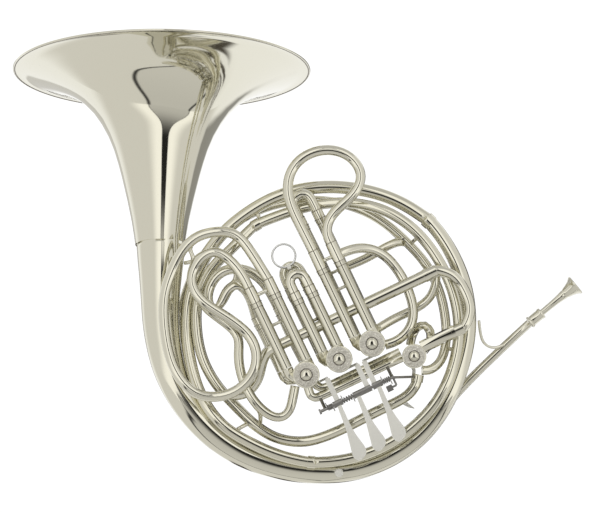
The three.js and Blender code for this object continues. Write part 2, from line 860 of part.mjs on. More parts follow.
function stopArmGeometry(valve) {
  const front = plateBack + fitGap;
  const hub = rod(vec(0, front, 0), vec(0, front + hubLength - fitGap, 0), hubRadius, roundSides / 2);
  const finger = box(stopArmReach, stopArmThickness, stopArmWidth, vec(
    stopArmReach / 2,
    front + stopArmThickness / 2,
    0,
  ));
  const rest = valve.stringSide > 0 ? armRestAngle : armRestAngle + quarterTurn;
  finger.rotateY(-THREE.MathUtils.degToRad(rest));
  const bore = rod(
    vec(0, front - cutOverrun, 0),
    vec(0, front + hubLength + cutOverrun, 0),
    stemRadius + fitGap,
    roundSides,
  );
  return cut(join(hub, finger), bore);
}

valves.forEach((valve) => {
  const axis = new THREE.Group();
  axis.position.set(valve.along, 0, valve.up);
  valveSection.add(axis);
  addPiece(axis, `${valve.name}_valve_casing`, casingGeometry(valve), silver);
  addPiece(axis, `${valve.name}_valve_rotor`, rotorGeometry(valve), satin);
  addPiece(axis, `${valve.name}_valve_cap`, capGeometry(valve), satin);
  addPiece(axis, `${valve.name}_valve_bearing_plate`, plateGeometry(valve), satin);
  addPiece(axis, `${valve.name}_valve_stop_arm`, stopArmGeometry(valve), satin);
});

// Sleeves of one slide: two tubes with a collar at the mouth, soldered together by a brace.
function sleevesGeometry({ valve, legs, depth, mouth, brace }) {
  const across = valve.along;
  const tubes = legs.map((leg) => skin(straightStations(
    vec(across + leg, depth, sleeveFoot),
    vec(across + leg, depth, mouth),
    sleeveRadius,
    {
      bore: sleeveRadius - sleeveWall,
      collars: [[mouth - sleeveFoot - sleeveCollarLength, mouth - sleeveFoot, sleeveCollarHeight]],
    },
  )));
  const height = sleeveFoot + brace * (mouth - sleeveFoot);
  const inset = sleeveRadius - sleeveWall / 2;
  return join(
    ...tubes,
    rod(
      vec(across + legs[0] + inset, depth, height),
      vec(across + legs[1] - inset, depth, height),
      strutRadius,
    ),
  );
}

// A moving crook: a leg, a ferrule, a bent tube through points, and back down.
function slideGeometry({ valve, legs, depth, mouth, ferrule, insert }, bend) {
  const across = valve.along;
  const [left, right] = legs.map((leg) => across + leg);
  const level = (x, z) => vec(x, depth, z);
  const ferruleBase = mouth + fitGap;
  const crookBase = ferruleBase + ferrule;
  const up = [level(left, mouth), level(left, crookBase)];
  const points = [...up, ...bend, level(right, crookBase), level(right, mouth)];
  const crook = curveStations(points, points.map(() => crookRadius), {
    from: 1,
    to: points.length - 2,
  });
  const leg = (x, from, to) => [
    { point: level(x, mouth - insert), tangent: vec(0, 0, 1), radius: legRadius, bore: 0 },
    { point: level(x, ferruleBase), tangent: vec(0, 0, 1), radius: legRadius, bore: 0 },
    { point: level(x, ferruleBase), tangent: vec(0, 0, 1), radius: ferruleRadius, bore: 0 },
    { point: level(x, crookBase - fitGap), tangent: vec(0, 0, 1), radius: ferruleRadius, bore: 0 },
    { point: level(x, crookBase - fitGap), tangent: vec(0, 0, 1), radius: crookRadius, bore: 0 },
  ].slice(from, to);
  const down = leg(right, 0, 5).reverse().map((station) => ({ ...station, tangent: vec(0, 0, -1) }));
  return skin([...leg(left, 0, 5), ...crook, ...down]);
}

// A plain U bend between two legs.
function bowPoints({ valve, legs, depth, mouth, ferrule, crown }) {
  const across = valve.along;
  const radius = (legs[1] - legs[0]) / 2;
  const middle = across + (legs[0] + legs[1]) / 2;
  const base = Math.max(crown - radius, mouth + ferrule + 2 * fitGap);
  const turns = [180, 150, 120, 90, 60, 30, 0];
  return turns.map((turn) => vec(
    middle + radius * Math.cos(THREE.MathUtils.degToRad(turn)),
    depth,
    base + radius * Math.sin(THREE.MathUtils.degToRad(turn)),
  )).filter((point) => point.z > mouth + ferrule + fitGap);
}

const keyholeShares = [
  [-0.1, 0.7],
  [-0.16, 0.82],
  [-0.187, 0.933],
  [-0.173, 1.04],
  [-0.113, 1.133],
  [-0.007, 1.193],
  [0.12, 1.207],
  [0.24, 1.16],
  [0.307, 1.067],
  [0.307, 0.98],
  [0.247, 0.887],
  [0.153, 0.813],
  [0.087, 0.733],
  [0.073, 0.647],
];
const curlShares = [
  [-0.5, 0.4],
  [-0.6, 0.5],
  [-0.68, 0.533],
  [-0.767, 0.48],
  [-0.82, 0.387],
  [-0.827, 0.3],
  [-0.767, 0.2],
  [-0.667, 0.133],
  [-0.533, 0.053],
  [-0.433, -0.033],
  [-0.387, -0.133],
  [-0.387, -0.233],
  [-0.433, -0.333],
  [-0.533, -0.42],
  [-0.667, -0.453],
  [-0.8, -0.433],
  [-0.9, -0.333],
  [-0.967, -0.2],
  [-1, -0.033],
  [-1.013, 0.133],
  [-1, 0.267],
  [-0.953, 0.4],
  [-0.887, 0.533],
  [-0.8, 0.62],
  [-0.7, 0.653],
  [-0.58, 0.66],
  [-0.5, 0.62],
  [-0.433, 0.533],
];
const arcShares = [
  [-0.413, 0.9, 0.17],
  [-0.45, 0.75, 0.26],
  [-0.52, 0.66, 0.307],
  [-0.587, 0.66, 0.267],
  [-0.617, 0.66, 0.187],
  [-0.667, 0.66, 0.13],
  [-0.717, 0.66, 0.187],
  [-0.713, 0.66, 0.267],
  [-0.673, 0.66, 0.347],
  [-0.607, 0.66, 0.4],
  [-0.513, 0.66, 0.413],
  [-0.42, 0.66, 0.387],
  [-0.347, 0.7, 0.327],
  [-0.3, 0.85, 0.26],
];
const frontLayerShare = frontDepth / layerDepth;
const inFront = (rows) => rows.map(([xShare, zShare]) => sectionPoint(xShare, frontLayerShare, zShare));

const bends = {
  first_f: inFront(keyholeShares),
  second_f: bowPoints(slides.second_f),
  third_f: inFront(curlShares),
  first_bflat: bowPoints(slides.first_bflat),
  second_bflat: bowPoints(slides.second_bflat),
  third_bflat: arcShares.map((row) => sectionPoint(...row)),
};

// Braces of the crooks, and the eye of the pull ring
const slideBrace = ({ valve, legs, depth, mouth, ferrule }, share) => rod(
  vec(valve.along + legs[0], depth, mouth + ferrule * share),
  vec(valve.along + legs[1], depth, mouth + ferrule * share),
  strutRadius,
);
const curlBraceShares = [[-0.793, 0.45], [-0.853, 0.575]];
const arcBraceShares = [[-0.53, 0.66, 0.4], [-0.53, 0.66, 0.305]];
const firstBraceShare = 0.35;
const thirdBraceShare = 0.4;
const pullCentre = vec(
  (slides.second_bflat.legs[0] + slides.second_bflat.legs[1]) / 2,
  rearDepth - crookRadius - pullEyeWall - fitGap - pullRingWire,
  slides.second_bflat.crown - fitGap,
);
function pullEyeGeometry() {
  const depth = 2 * (pullRingWire + fitGap + pullEyeWall);
  const height = depth;
  const block = box(pullEyeWidth, depth + crookRadius / 2, height, vec(
    pullCentre.x,
    pullCentre.y + crookRadius / 4,
    pullCentre.z,
  ));
  const holeSize = 2 * (pullRingWire + fitGap);
  const hole = box(pullEyeWidth + cutOverrun, holeSize, holeSize, pullCentre);
  return cut(block, hole);
}
const slideExtras = {
  first_f: [slideBrace(slides.first_f, firstBraceShare)],
  second_f: [],
  third_f: [
    slideBrace(slides.third_f, thirdBraceShare),
    rod(...inFront(curlBraceShares), strutRadius),
  ],
  first_bflat: [],
  second_bflat: [pullEyeGeometry()],
  third_bflat: [rod(...arcBraceShares.map((row) => sectionPoint(...row)), strutRadius)],
};
for (const [name, slide] of Object.entries(slides)) {
  addPiece(valveSection, `${name}_sleeves`, sleevesGeometry(slide), silver);
  const crook = slideGeometry(slide, bends[name]);
  addPiece(valveSection, `${name}_slide`, join(crook, ...slideExtras[name]), silver);
}

const pullRing = new THREE.TorusGeometry(pullRingRadius, pullRingWire, wireSides, roundSides);
pullRing.rotateX(Math.PI / 2).translate(pullCentre.x, pullCentre.y, pullCentre.z + pullRingRadius);
addPiece(valveSection, 'pull_ring', pullRing, wireFinish);

// Main tuning slide, its sleeves, and the tube that goes on behind the front slides

const upperSleeve = () => skin(straightStations(
  vec(tuningUpperStart, 0, tuningUpperUp),
  vec(tuningMouth, 0, tuningUpperUp),
  tuningSleeveRadius,
  { bore: tuningBore, collars: tuningCollar(tuningMouth - tuningUpperStart) },
));

const crossoverShares = [
  [-0.327, 0.1, -0.153],
  [-0.36, 0.35, -0.227],
  [-0.373, 0.5, -0.32],
  [-0.425, 0.52, -0.4],
  [-0.49, 0.52, -0.435],
  [-0.56, 0.52, -0.432],
];
const crossoverBraceAngle = 940;
function crossoverGeometry() {
  const points = [
    vec(tuningUpperStart + fitGap, 0, tuningUpperUp),
    vec(0, 0, tuningUpperUp),
    vec(crossoverEnd + 2 * crossoverRadius, 0, tuningUpperUp),
    vec(crossoverEnd, 0, tuningUpperUp),
    ...crossoverShares.map((row) => sectionPoint(...row)),
  ];
  const radii = points.map(() => crossoverRadius);
  const tail = points.at(-1);
  const coil = valveSection.worldToLocal(coilPoint(crossoverBraceAngle).clone());
  return join(upperSleeve(), skin(curveStations(points, radii)), strut(tail, coil, innerTubeRadius));
}
addPiece(valveSection, 'tuning_crossover_tube', crossoverGeometry(), silver);

function tuningSlideGeometry() {
  const base = tuningMouth + fitGap;
  const crookBase = base + tuningFerruleLength;
  const corner = tuningReach - tuningBend;
  const quarter = [0, 30, 60, 90].map((turn) => THREE.MathUtils.degToRad(turn));
  const bendPoints = [
    ...quarter.map((turn) => vec(
      corner + tuningBend * Math.sin(turn),
      0,
      tuningUpperUp - tuningBend + tuningBend * Math.cos(turn),
    )),
    ...quarter.reverse().map((turn) => vec(
      corner + tuningBend * Math.sin(turn),
      0,
      tuningLowerUp + tuningBend - tuningBend * Math.cos(turn),
    )),
  ].filter((point) => point.x > crookBase + fitGap);
  const [high, low] = tuningLevels;
  const points = [
    vec(base, 0, high),
    vec(crookBase, 0, high),
    ...bendPoints,
    vec(crookBase, 0, low),
    vec(base, 0, low),
  ];
  const radii = points.map(() => tuningCrookRadius);
  const crook = curveStations(points, radii, { from: 1, to: points.length - 2 });
  const leg = (z) => [
    { point: vec(tuningMouth - tuningInsert, 0, z), radius: tuningLegRadius },
    { point: vec(base, 0, z), radius: tuningLegRadius },
    { point: vec(base, 0, z), radius: tuningSleeveRadius },
    { point: vec(crookBase - fitGap, 0, z), radius: tuningSleeveRadius },
    { point: vec(crookBase - fitGap, 0, z), radius: tuningCrookRadius },
  ];
  return skin([
    ...leg(high).map((station) => ({ ...station, tangent: vec(1, 0, 0), bore: 0 })),
    ...crook,
    ...leg(low).reverse().map((station) => ({ ...station, tangent: vec(-1, 0, 0), bore: 0 })),
  ]);
}
addPiece(valveSection, 'main_tuning_slide', tuningSlideGeometry(), silver);

// Tubes about the valves

const frontLinkDepthShare = -0.55;
const rearLinkDepthShare = 0.35;
const linkUp = -26.7;
const rearLinkUp = -21;
const plain = (points, radius) => skin(curveStations(points, points.map(() => radius)));
const frontLinkShares = [[-0.3, -0.99], [-0.36, -1.3], [-0.38, -1.65], [-0.2, -1.94], [0.2, -2.02]];
const linkElbow = (rows, depth) => rows.map(([acrossShare, upShare]) => vec(
  -valvePitch + acrossShare * casingRadius,
  depth,
  upShare * casingRadius,
));
addPiece(valveSection, 'link_tube_front', plain([
  ...linkElbow(frontLinkShares, frontLinkDepthShare * layerDepth),
  vec(-valvePitch + casingRadius, frontLinkDepthShare * layerDepth, linkUp),
  vec(0, frontLinkDepthShare * layerDepth, linkUp),
  vec(changeAlong - changeCasingRadius - fitGap, frontLinkDepthShare * layerDepth, linkUp),
], linkTubeRadius), silver);
const rearLinkShares = [[0.35, -0.98], [0.43, -1.25], [0.65, -1.5]];
addPiece(valveSection, 'link_tube_rear', plain([
  ...linkElbow(rearLinkShares, rearLinkDepthShare * layerDepth),
  vec(-valvePitch + casingRadius, rearLinkDepthShare * layerDepth, rearLinkUp),
  vec(0, rearLinkDepthShare * layerDepth, rearLinkUp),
  vec(changeAlong - changeCasingRadius + fitGap, rearLinkDepthShare * layerDepth, rearLinkUp),
], linkTubeRadius), silver);

const thirdBranchShares = [
  [-0.133, -0.24, -0.375],
  [-0.147, -0.24, -0.45],
  [-0.165, -0.24, -0.54],
  [-0.22, -0.24, -0.59],
  [-0.3, -0.24, -0.575],
  [-0.39, -0.24, -0.5],
  [-0.455, -0.24, -0.4],
  [-0.5, -0.24, -0.28],
  [-0.513, -0.24, -0.16],
  [-0.5, -0.24, -0.06],
  [-0.55, -0.24, 0.013],
  [-0.65, -0.24, 0.087],
  [-0.72, -0.24, 0.14],
  [-0.745, -0.2, 0.18],
];
const thirdBranchTip = spot(...thirdBranchShares.at(-1));
const thirdBraceShares = [-0.36, -0.24, -0.53];
const thirdBraceAngles = [888, 961];
addPiece(horn, 'third_valve_branch', join(
  plain(thirdBranchShares.map((row) => spot(...row)), leadTubeRadius),
  strut(thirdBranchTip, coilPoint(thirdBraceAngles[0]), innerTubeRadius),
  strut(spot(...thirdBraceShares), coilPoint(thirdBraceAngles[1]), innerTubeRadius + 2 * fitGap),
), silver);
addPiece(horn, 'inner_branch', join(
  coilStretch(coilJointAngles[2], coilEndAngle),
  strut(coilPoint(lowerBraceAngles[1]), coilPoint(lowerBraceAngles[0]), outerTubeRadius + fitGap),
), silver);

const firstLoopShares = [
  [0.47, 1, -0.1],
  [0.56, 1, -0.075],
  [0.65, 1, 0.02],
  [0.663, 1, 0.14],
  [0.627, 1, 0.26],
  [0.567, 1, 0.387],
  [0.467, 0.95, 0.507],
  [0.353, 0.8, 0.55],
  [0.265, 0.4, 0.545],
  [0.2, 0.08, 0.522],
  [0.144, 0, 0.498],
];
addPiece(horn, 'first_valve_loop', plain(firstLoopShares.map((row) => spot(...row)), sideTubeRadius), silver);
const returnShares = [
  [0.15, 1.79, 0.4],
  [0.22, 1.82, 0.425],
  [0.367, 1.86, 0.487],
  [0.467, 1.86, 0.553],
  [0.547, 1.7, 0.587],
  [0.588, 1.5, 0.587],
];
addPiece(horn, 'return_tube', plain(returnShares.map((row) => spot(...row)), bowTubeRadius), silver);
const changeTubeShares = [
  [0.415, 1.55, 0.005],
  [0.513, 1.8, 0.067],
  [0.6, 1.87, 0.107],
  [0.7, 1.87, 0.153],
  [0.773, 1.75, 0.213],
  [0.807, 1.5, 0.3],
  [0.81, 1.5, 0.36],
];
const changeTube = plain(changeTubeShares.map((row) => spot(...row)), bowTubeRadius);
addPiece(horn, 'change_valve_tube', changeTube, silver);

// Levers on the hinge rod: barrel, paddle, string bar, post and rear string rod

// The ends of a barrel, the paddle and the string bar along the hinge rod, as shares of the valve pitch.
const leverShares = {
  first: { barrel: [0.504, 0.796], paddle: 0.66, bar: 0.594 },
  second: { barrel: [-0.08, 0.467], paddle: 0.045, bar: 0.377 },
  third: { barrel: [-0.69, -0.411], paddle: -0.544, bar: -0.531 },
};
const hingePostShares = [-0.928, 1.101];
const springSeatShares = { first: [0.804, 1.04], second: [-0.403, -0.088], third: [-0.87, -0.698] };
const hingePlace = (share) => share * valvePitch;

// A paddle's outline: across as a share of its width, and down from the hinge rod as a share of its length.
const paddleShares = [
  [-0.133, 0.035],
  [-0.196, 0.226],
  [-0.272, 0.445],
  [-0.4, 0.61],
  [-0.513, 0.746],
  [-0.625, 0.888],
  [-0.57, 0.945],
  [-0.45, 0.985],
  [-0.3, 1],
  [-0.1, 0.99],
  [0.152, 0.961],
  [0.31, 0.915],
  [0.367, 0.86],
  [0.35, 0.8],
  [0.27, 0.71],
  [0.16, 0.56],
  [0.114, 0.444],
  [0.127, 0.313],
  [0.146, 0.035],
];

function leverGeometry(valve, places) {
  const barrel = places.barrel.map(hingePlace);
  const paddle = hingePlace(places.paddle);
  const bar = hingePlace(places.bar);
  const [barrelFrom, barrelTo] = barrel.map((x) => vec(x, hingeDepth, hingeUp));
  const tube = rod(barrelFrom, barrelTo, barrelRadius, tubeSides);
  const bore = rod(
    vec(barrel[0] - cutOverrun, hingeDepth, hingeUp),
    vec(barrel[1] + cutOverrun, hingeDepth, hingeUp),
    hingeRodRadius + fitGap,
    tubeSides,
  );
  const spoon = plate(paddleShares.map(([acrossShare, downShare]) => new THREE.Vector2(
    paddle + acrossShare * paddleWidth,
    hingeUp - downShare * paddleLength,
  )), paddleThickness).translate(0, hingeDepth - barrelRadius + paddleThickness, 0);
  const barDepth = hingeDepth + barrelRadius - stringBarThickness / 2;
  const strip = box(stringBarWidth, stringBarThickness, postUp - hingeUp, vec(
    bar,
    barDepth,
    (postUp + hingeUp) / 2,
  ));
  const post = rod(vec(bar, barDepth, postUp), vec(bar, stringDepth, postUp), postRadius);
  const rodAcross = valve.along + valve.stringSide * (hubRadius + fitGap + stringRodWidth / 2);
  const reach = Math.abs(bar - rodAcross);
  const jog = box(reach + stringRodWidth, thumbPlate, stringRodWidth, vec(
    (bar + rodAcross) / 2,
    stringDepth,
    postUp,
  ));
  const rear = box(stringRodWidth, thumbPlate, stringBarTop - postUp + stringRodWidth / 2, vec(
    rodAcross,
    stringDepth,
    (stringBarTop + postUp - stringRodWidth / 2) / 2,
  ));
  return cut(join(tube, spoon, strip, post, jog, rear), bore);
}
for (const [name, places] of Object.entries(leverShares)) {
  addPiece(valveSection, `${name}_lever`, leverGeometry(valveNamed(name), places), satin);
}

// A rest block hangs under the rod's right end, and a stay runs from that end back to the inner branch.
const restBlockShare = 0.915;
const restBlock = vec(hingePlace(restBlockShare), hingeDepth, hingeUp - restBlockDrop);
const restCorner = vec(hingeRodRight - stayRadius, hingeDepth, restBlock.z);
const stayAngle = 1055.5;
const hingeGeometry = () => join(
  rod(
    vec(hingeRodLeft, hingeDepth, hingeUp),
    vec(hingeRodRight, hingeDepth, hingeUp),
    hingeRodRadius,
    tubeSides,
  ),
  ...[hingeRodLeft, hingeRodRight - hingeKnobLength / 2].map((x) => rod(
    vec(x, hingeDepth, hingeUp),
    vec(x + hingeKnobLength / 2, hingeDepth, hingeUp),
    hingeKnobRadius,
    tubeSides,
  )),
  ...hingePostShares.map(hingePlace).map((x) => strut(
    vec(x, hingeDepth, hingeUp),
    vec(x, frontLinkDepthShare * layerDepth, linkUp),
    linkTubeRadius,
  )),
  box(restBlockSize, restBlockSize / 2, restBlockSize, restBlock),
  rod(restBlock, restCorner, stayRadius),
  rod(restCorner, vec(restCorner.x, hingeDepth, hingeUp), stayRadius),
  strut(
    vec(hingeRodRight - hingeKnobLength / 2, hingeDepth, hingeUp),
    valveSection.worldToLocal(coilPoint(stayAngle).clone()),
    innerTubeRadius + stayRadius / 2,
    stayRadius,
  ),
);
addPiece(valveSection, 'hinge_rod', hingeGeometry(), steel);

// A coil spring about the hinge rod: an unbroken wire with a straight tail at each end.
function springGeometry(from, to) {
  const steps = springCurls * springSteps;
  const pitch = (to - from - 2 * springWire) / springCurls;
  const coil = Array.from({ length: steps + 1 }, (_, step) => {
    const turn = (2 * Math.PI * step) / springSteps;
    return vec(
      from + springWire + (pitch * step) / springSteps,
      hingeDepth - springRadius * Math.cos(turn),
      hingeUp - springRadius * Math.sin(turn),
    );
  });
  const tail = vec(0, 0, -2 * springRadius);
  const points = [
    coil[0].clone().sub(tail),
    ...coil,
    coil.at(-1).clone().add(tail),
  ];
  const stations = points.map((point, index) => {
    const before = points[Math.max(index - 1, 0)];
    const after = points[Math.min(index + 1, points.length - 1)];
    return { point, tangent: after.clone().sub(before).normalize(), radius: springWire, bore: 0 };
  });
  return { geometry: skin(stations, springSides), points };
}

// The least distance between two curls, measured on the wire's own points.
function leastGap(points) {
  let least = Infinity;
  points.forEach((point, index) => {
    for (let other = index + springSteps / 2; other < points.length; other += 1) {
      least = Math.min(least, point.distanceTo(points[other]) - 2 * springWire);
    }
  });
  return least;
}
for (const [name, seat] of Object.entries(springSeatShares)) {
  const { geometry, points } = springGeometry(...seat.map(hingePlace));
  console.log(`${name}_lever_spring: least gap to itself ${leastGap(points).toFixed(2)} mm`);
  addPiece(valveSection, `${name}_lever_spring`, geometry, steel);
}

// Thumb lever at the back: it turns on a pin that stands on the inner branch

const thumbPinAngle = 1048;
const thumbPinPlace = valveSection.worldToLocal(coilPoint(thumbPinAngle).clone());
const thumbFootDepth = thumbPinPlace.y + innerTubeRadius + fitGap;
const thumbTop = stringDepth + thumbPlate + fitGap;
addPiece(valveSection, 'thumb_pin', join(
  rod(
    vec(thumbPinPlace.x, thumbFootDepth, thumbPinPlace.z),
    vec(thumbPinPlace.x, thumbFootDepth + thumbFootHeight, thumbPinPlace.z),
    thumbFootRadius,
    tubeSides,
  ),
  rod(
    vec(thumbPinPlace.x, thumbFootDepth, thumbPinPlace.z),
    vec(thumbPinPlace.x, thumbTop, thumbPinPlace.z),
    thumbPinRadius,
    roundSides / 2,
  ),
  rod(
    vec(thumbPinPlace.x, thumbTop, thumbPinPlace.z),
    vec(thumbPinPlace.x, thumbTop + thumbPlate, thumbPinPlace.z),
    thumbPinRadius + thumbPlate / 2,
    roundSides / 2,
  ),
), steel);
// Reach from the pin as shares of the boss radius, and widths of the same.
const thumbTipShares = [
  [0, 0, 1.5],
  [-1.99, -0.18, 1.3],
  [-2.88, -0.74, 1.2],
  [-2.81, -1.91, 1.05],
  [-2.18, -2.96, 0.75],
  [-1.35, -3.96, 0.2],
];
function thumbLeverGeometry() {
  const boss = rod(
    vec(thumbPinPlace.x, stringDepth - thumbPlate / 2, thumbPinPlace.z),
    vec(thumbPinPlace.x, stringDepth + thumbPlate / 2, thumbPinPlace.z),
    thumbBossRadius,
    roundSides / 2,
  );
  const stringAcross = changeAlong - hubRadius - fitGap - stringRodWidth / 2;
  const tip = blade(
    thumbTipShares.map(([x, z]) => [
      thumbPinPlace.x + x * thumbBossRadius,
      thumbPinPlace.z + z * thumbBossRadius,
    ]),
    thumbTipShares.map(([, , width]) => width * thumbBossRadius),
    thumbPlate,
  );
  const arm = blade(
    [
      [thumbPinPlace.x, thumbPinPlace.z],
      [stringAcross, -changeDrop - 2 * stringBarTop],
      [stringAcross, -changeDrop + stringBarTop / 2],
    ],
    [thumbBossRadius, stringRodWidth * 1.5, stringRodWidth],
    thumbPlate,
  );
  const bore = rod(
    vec(thumbPinPlace.x, stringDepth - cutOverrun, thumbPinPlace.z),
    vec(thumbPinPlace.x, stringDepth + cutOverrun, thumbPinPlace.z),
    thumbPinRadius + fitGap,
    roundSides / 2,
  );
  const flat = join(
    tip.translate(0, stringDepth - thumbPlate / 2, 0),
    arm.translate(0, stringDepth - thumbPlate / 2, 0),
    boss,
  );
  return cut(flat, bore);
}
addPiece(valveSection, 'thumb_lever', thumbLeverGeometry(), satin);

// The left hand's grip on the ring is the part's origin.
const gripShares = [304, 0.99, 2];
const grip = ringSpot(gripShares);
const part = new THREE.Group();
part.name = 'horn_at_left_hand_grip';
horn.position.copy(grip).negate();
part.add(horn);

export default part;
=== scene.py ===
import json
import math

import bpy
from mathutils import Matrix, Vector


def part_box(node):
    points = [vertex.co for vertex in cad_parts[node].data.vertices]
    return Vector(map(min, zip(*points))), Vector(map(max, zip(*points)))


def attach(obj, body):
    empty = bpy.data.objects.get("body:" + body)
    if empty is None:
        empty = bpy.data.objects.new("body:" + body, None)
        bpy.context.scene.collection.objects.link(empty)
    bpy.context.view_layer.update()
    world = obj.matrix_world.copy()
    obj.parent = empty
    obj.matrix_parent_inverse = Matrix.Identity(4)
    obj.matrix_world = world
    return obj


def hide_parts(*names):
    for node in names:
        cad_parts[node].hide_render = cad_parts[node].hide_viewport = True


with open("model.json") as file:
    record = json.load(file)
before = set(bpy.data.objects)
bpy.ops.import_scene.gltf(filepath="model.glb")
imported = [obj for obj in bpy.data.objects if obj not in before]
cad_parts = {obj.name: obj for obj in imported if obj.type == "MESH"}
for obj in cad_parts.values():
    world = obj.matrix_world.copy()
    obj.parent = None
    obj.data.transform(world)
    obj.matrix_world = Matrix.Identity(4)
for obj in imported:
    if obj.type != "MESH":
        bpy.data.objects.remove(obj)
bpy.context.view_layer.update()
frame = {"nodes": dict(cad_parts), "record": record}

MM = 0.001
TO_CAMERA = Vector((0, -1, 0))
DOWNWARD = Vector((0, 0, -1))
# Angles in degrees: steps below the first are shaded smooth, edges above the second stay sharp when a tube is
# rounded, faces within the third are joined, and edges above the fourth are bevelled
SMOOTH_ANGLE = 38
SHARP_ANGLE = 62
FLAT_ANGLE = 2
BEVEL_ANGLE = 45
# Points nearer than this are one, in mm
COPY_GAP = 0.002
LATHE_GAP = 0.004
# Sockets of the Mix node: its colours A and B and their result, and its numbers A and B
COLOR_A, COLOR_B, COLOR_RESULT = 6, 7, 2
NUMBER_A, NUMBER_B = 2, 3
record = frame["record"]
body_of_node = {node: body for body, nodes in record["behaviour"]["bodies"].items() for node in nodes}
slot_of_node = {row["node"]: row["material_slot"] for row in record["subparts"]}


# Material maths


class Value:
    """A socket or a number in a shader, with the arithmetic that the finishes use."""

    def __init__(self, finish, socket):
        self.finish = finish
        self.socket = socket

    def math(self, operation, *others):
        others = [other.socket if isinstance(other, Value) else other for other in others]
        return self.finish.node("ShaderNodeMath", {"operation": operation}, [self.socket, *others])

    def __add__(self, other):
        return self.math("ADD", other)

    def __mul__(self, other):
        return self.math("MULTIPLY", other)

    def __sub__(self, other):
        return self.math("SUBTRACT", other)

    def __rsub__(self, other):
        return self * -1.0 + other

    __radd__ = __add__
    __rmul__ = __mul__


class Finish:
    """A node material built from its principled shader outwards."""

    def __init__(self, name, color, roughness, metallic=1.0):
        self.material = bpy.data.materials.new(name)
        self.material.use_nodes = True
        self.tree = self.material.node_tree
        self.shader = self.tree.nodes["Principled BSDF"]
        self.shader.inputs["Base Color"].default_value = (*color, 1.0)
        self.shader.inputs["Roughness"].default_value = roughness
        self.shader.inputs["Metallic"].default_value = metallic
        self.material.diffuse_color = (*color, 1.0)

    def node(self, kind, settings, inputs, output=0):
        made = self.tree.nodes.new(kind)
        for key, value in settings.items():
            setattr(made, key, value)
        pairs = inputs.items() if isinstance(inputs, dict) else enumerate(inputs)
        for key, value in pairs:
            value = value.socket if isinstance(value, Value) else value
            if isinstance(value, bpy.types.NodeSocket):
                self.tree.links.new(value, made.inputs[key])
            else:
                made.inputs[key].default_value = value
        return made if output is None else Value(self, made.outputs[output])

    def place(self):
        return self.node("ShaderNodeTexCoord", {}, {}, "Object")

    def feed(self, name, value):
        self.tree.links.new(value.socket, self.shader.inputs[name])

    def bump(self, height, strength, distance):
        self.feed("Normal", self.node(
            "ShaderNodeBump", {}, {"Strength": strength, "Distance": distance, "Height": height}
        ))


# Patterns on the metal, in cells per metre
CLOUD_SCALE = 38.0
LEAF_SCALE = 560.0
FINE_SCALE = 1300.0


def polished(name, color, roughness, haze):
    """A metal whose roughness drifts upwards from the one given, by up to the haze."""
    finish = Finish(name, color, roughness)
    cloud = finish.node("ShaderNodeTexNoise", {}, {"Vector": finish.place(), "Scale": CLOUD_SCALE, "Detail": 3.0})
    finish.feed("Roughness", cloud * haze + roughness)
    return finish


silver = polished("polished_nickel_silver", (0.74, 0.722, 0.62), 0.03, 0.05)
# Painted shade: the sleeves and the coils are the same nickel silver as the rest, given darker copies of it for the
# shade that falls between the packed tubes
sleeve_silver_painted_shade = polished("drawn_sleeve_painted_shade", (0.62, 0.605, 0.515), 0.05, 0.05)
coil_silver_painted_shade = polished("coil_silver_painted_shade", (0.72, 0.70, 0.59), 0.035, 0.05)
lever_silver = polished("satin_lever_plate", (0.74, 0.735, 0.69), 0.4, 0.1)
plate_silver = polished("satin_rotor_metal", (0.60, 0.585, 0.53), 0.22, 0.1)
dark_steel = polished("darkened_steel", (0.25, 0.245, 0.235), 0.26, 0.14)
ring_wire = polished("bright_ring_wire", (0.78, 0.79, 0.80), 0.24, 0.06)

engraved = polished("engraved_cap_face", (0.66, 0.64, 0.575), 0.26, 0.08)
leaf = engraved.node("ShaderNodeTexVoronoi", {"feature": "DISTANCE_TO_EDGE"}, {
    "Vector": engraved.place(), "Scale": LEAF_SCALE,
})
fine = engraved.node("ShaderNodeTexNoise", {}, {
    "Vector": engraved.place(), "Scale": FINE_SCALE, "Detail": 2.0,
})
carved = leaf * 1.6 + fine * 0.9 - 0.35
engraved.bump(carved, 0.5, 0.0004)
engraved.feed("Base Color", engraved.node("ShaderNodeMix", {"data_type": "RGBA", "clamp_factor": True}, {
    "Factor": carved, COLOR_A: (0.47, 0.45, 0.39, 1), COLOR_B: (0.88, 0.865, 0.80, 1),
}, COLOR_RESULT))

# Painted shade: a dark finish for thin rings at the slides' joints, the foot of the bell's bead and the caps'
# grooves, where shade falls
painted_seam_shade = polished("seam_shadow", (0.20, 0.18, 0.15), 0.35, 0.1)

slot_finish = {
    "nickel_silver": silver,
    "satin_nickel": plate_silver,
    "dark_steel": dark_steel,
    "steel_wire": ring_wire,
}


# Modelling


def clear_selection():
    bpy.ops.object.select_all(action="DESELECT")


def select_only(piece):
    clear_selection()
    piece.select_set(True)
    bpy.context.view_layer.objects.active = piece


def smooth_shade(piece, angle=SMOOTH_ANGLE):
    select_only(piece)
    bpy.ops.object.shade_smooth_by_angle(angle=math.radians(angle))


def finish_piece(piece, node, finish=None, angle=SMOOTH_ANGLE):
    """Gives a piece its finish and its body, and lets it stand for its CAD node."""
    piece.data.materials.clear()
    piece.data.materials.append((finish or slot_finish[slot_of_node[node]]).material)
    smooth_shade(piece, angle)
    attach(piece, body_of_node[node])
    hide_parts(node)


def painted_shade_line(piece, node):
    """Gives a seam the painted shade finish, a dark one where shade falls, and the body of the node that it lies on.
    """
    piece.data.materials.append(painted_seam_shade.material)
    smooth_shade(piece)
    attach(piece, body_of_node[node])


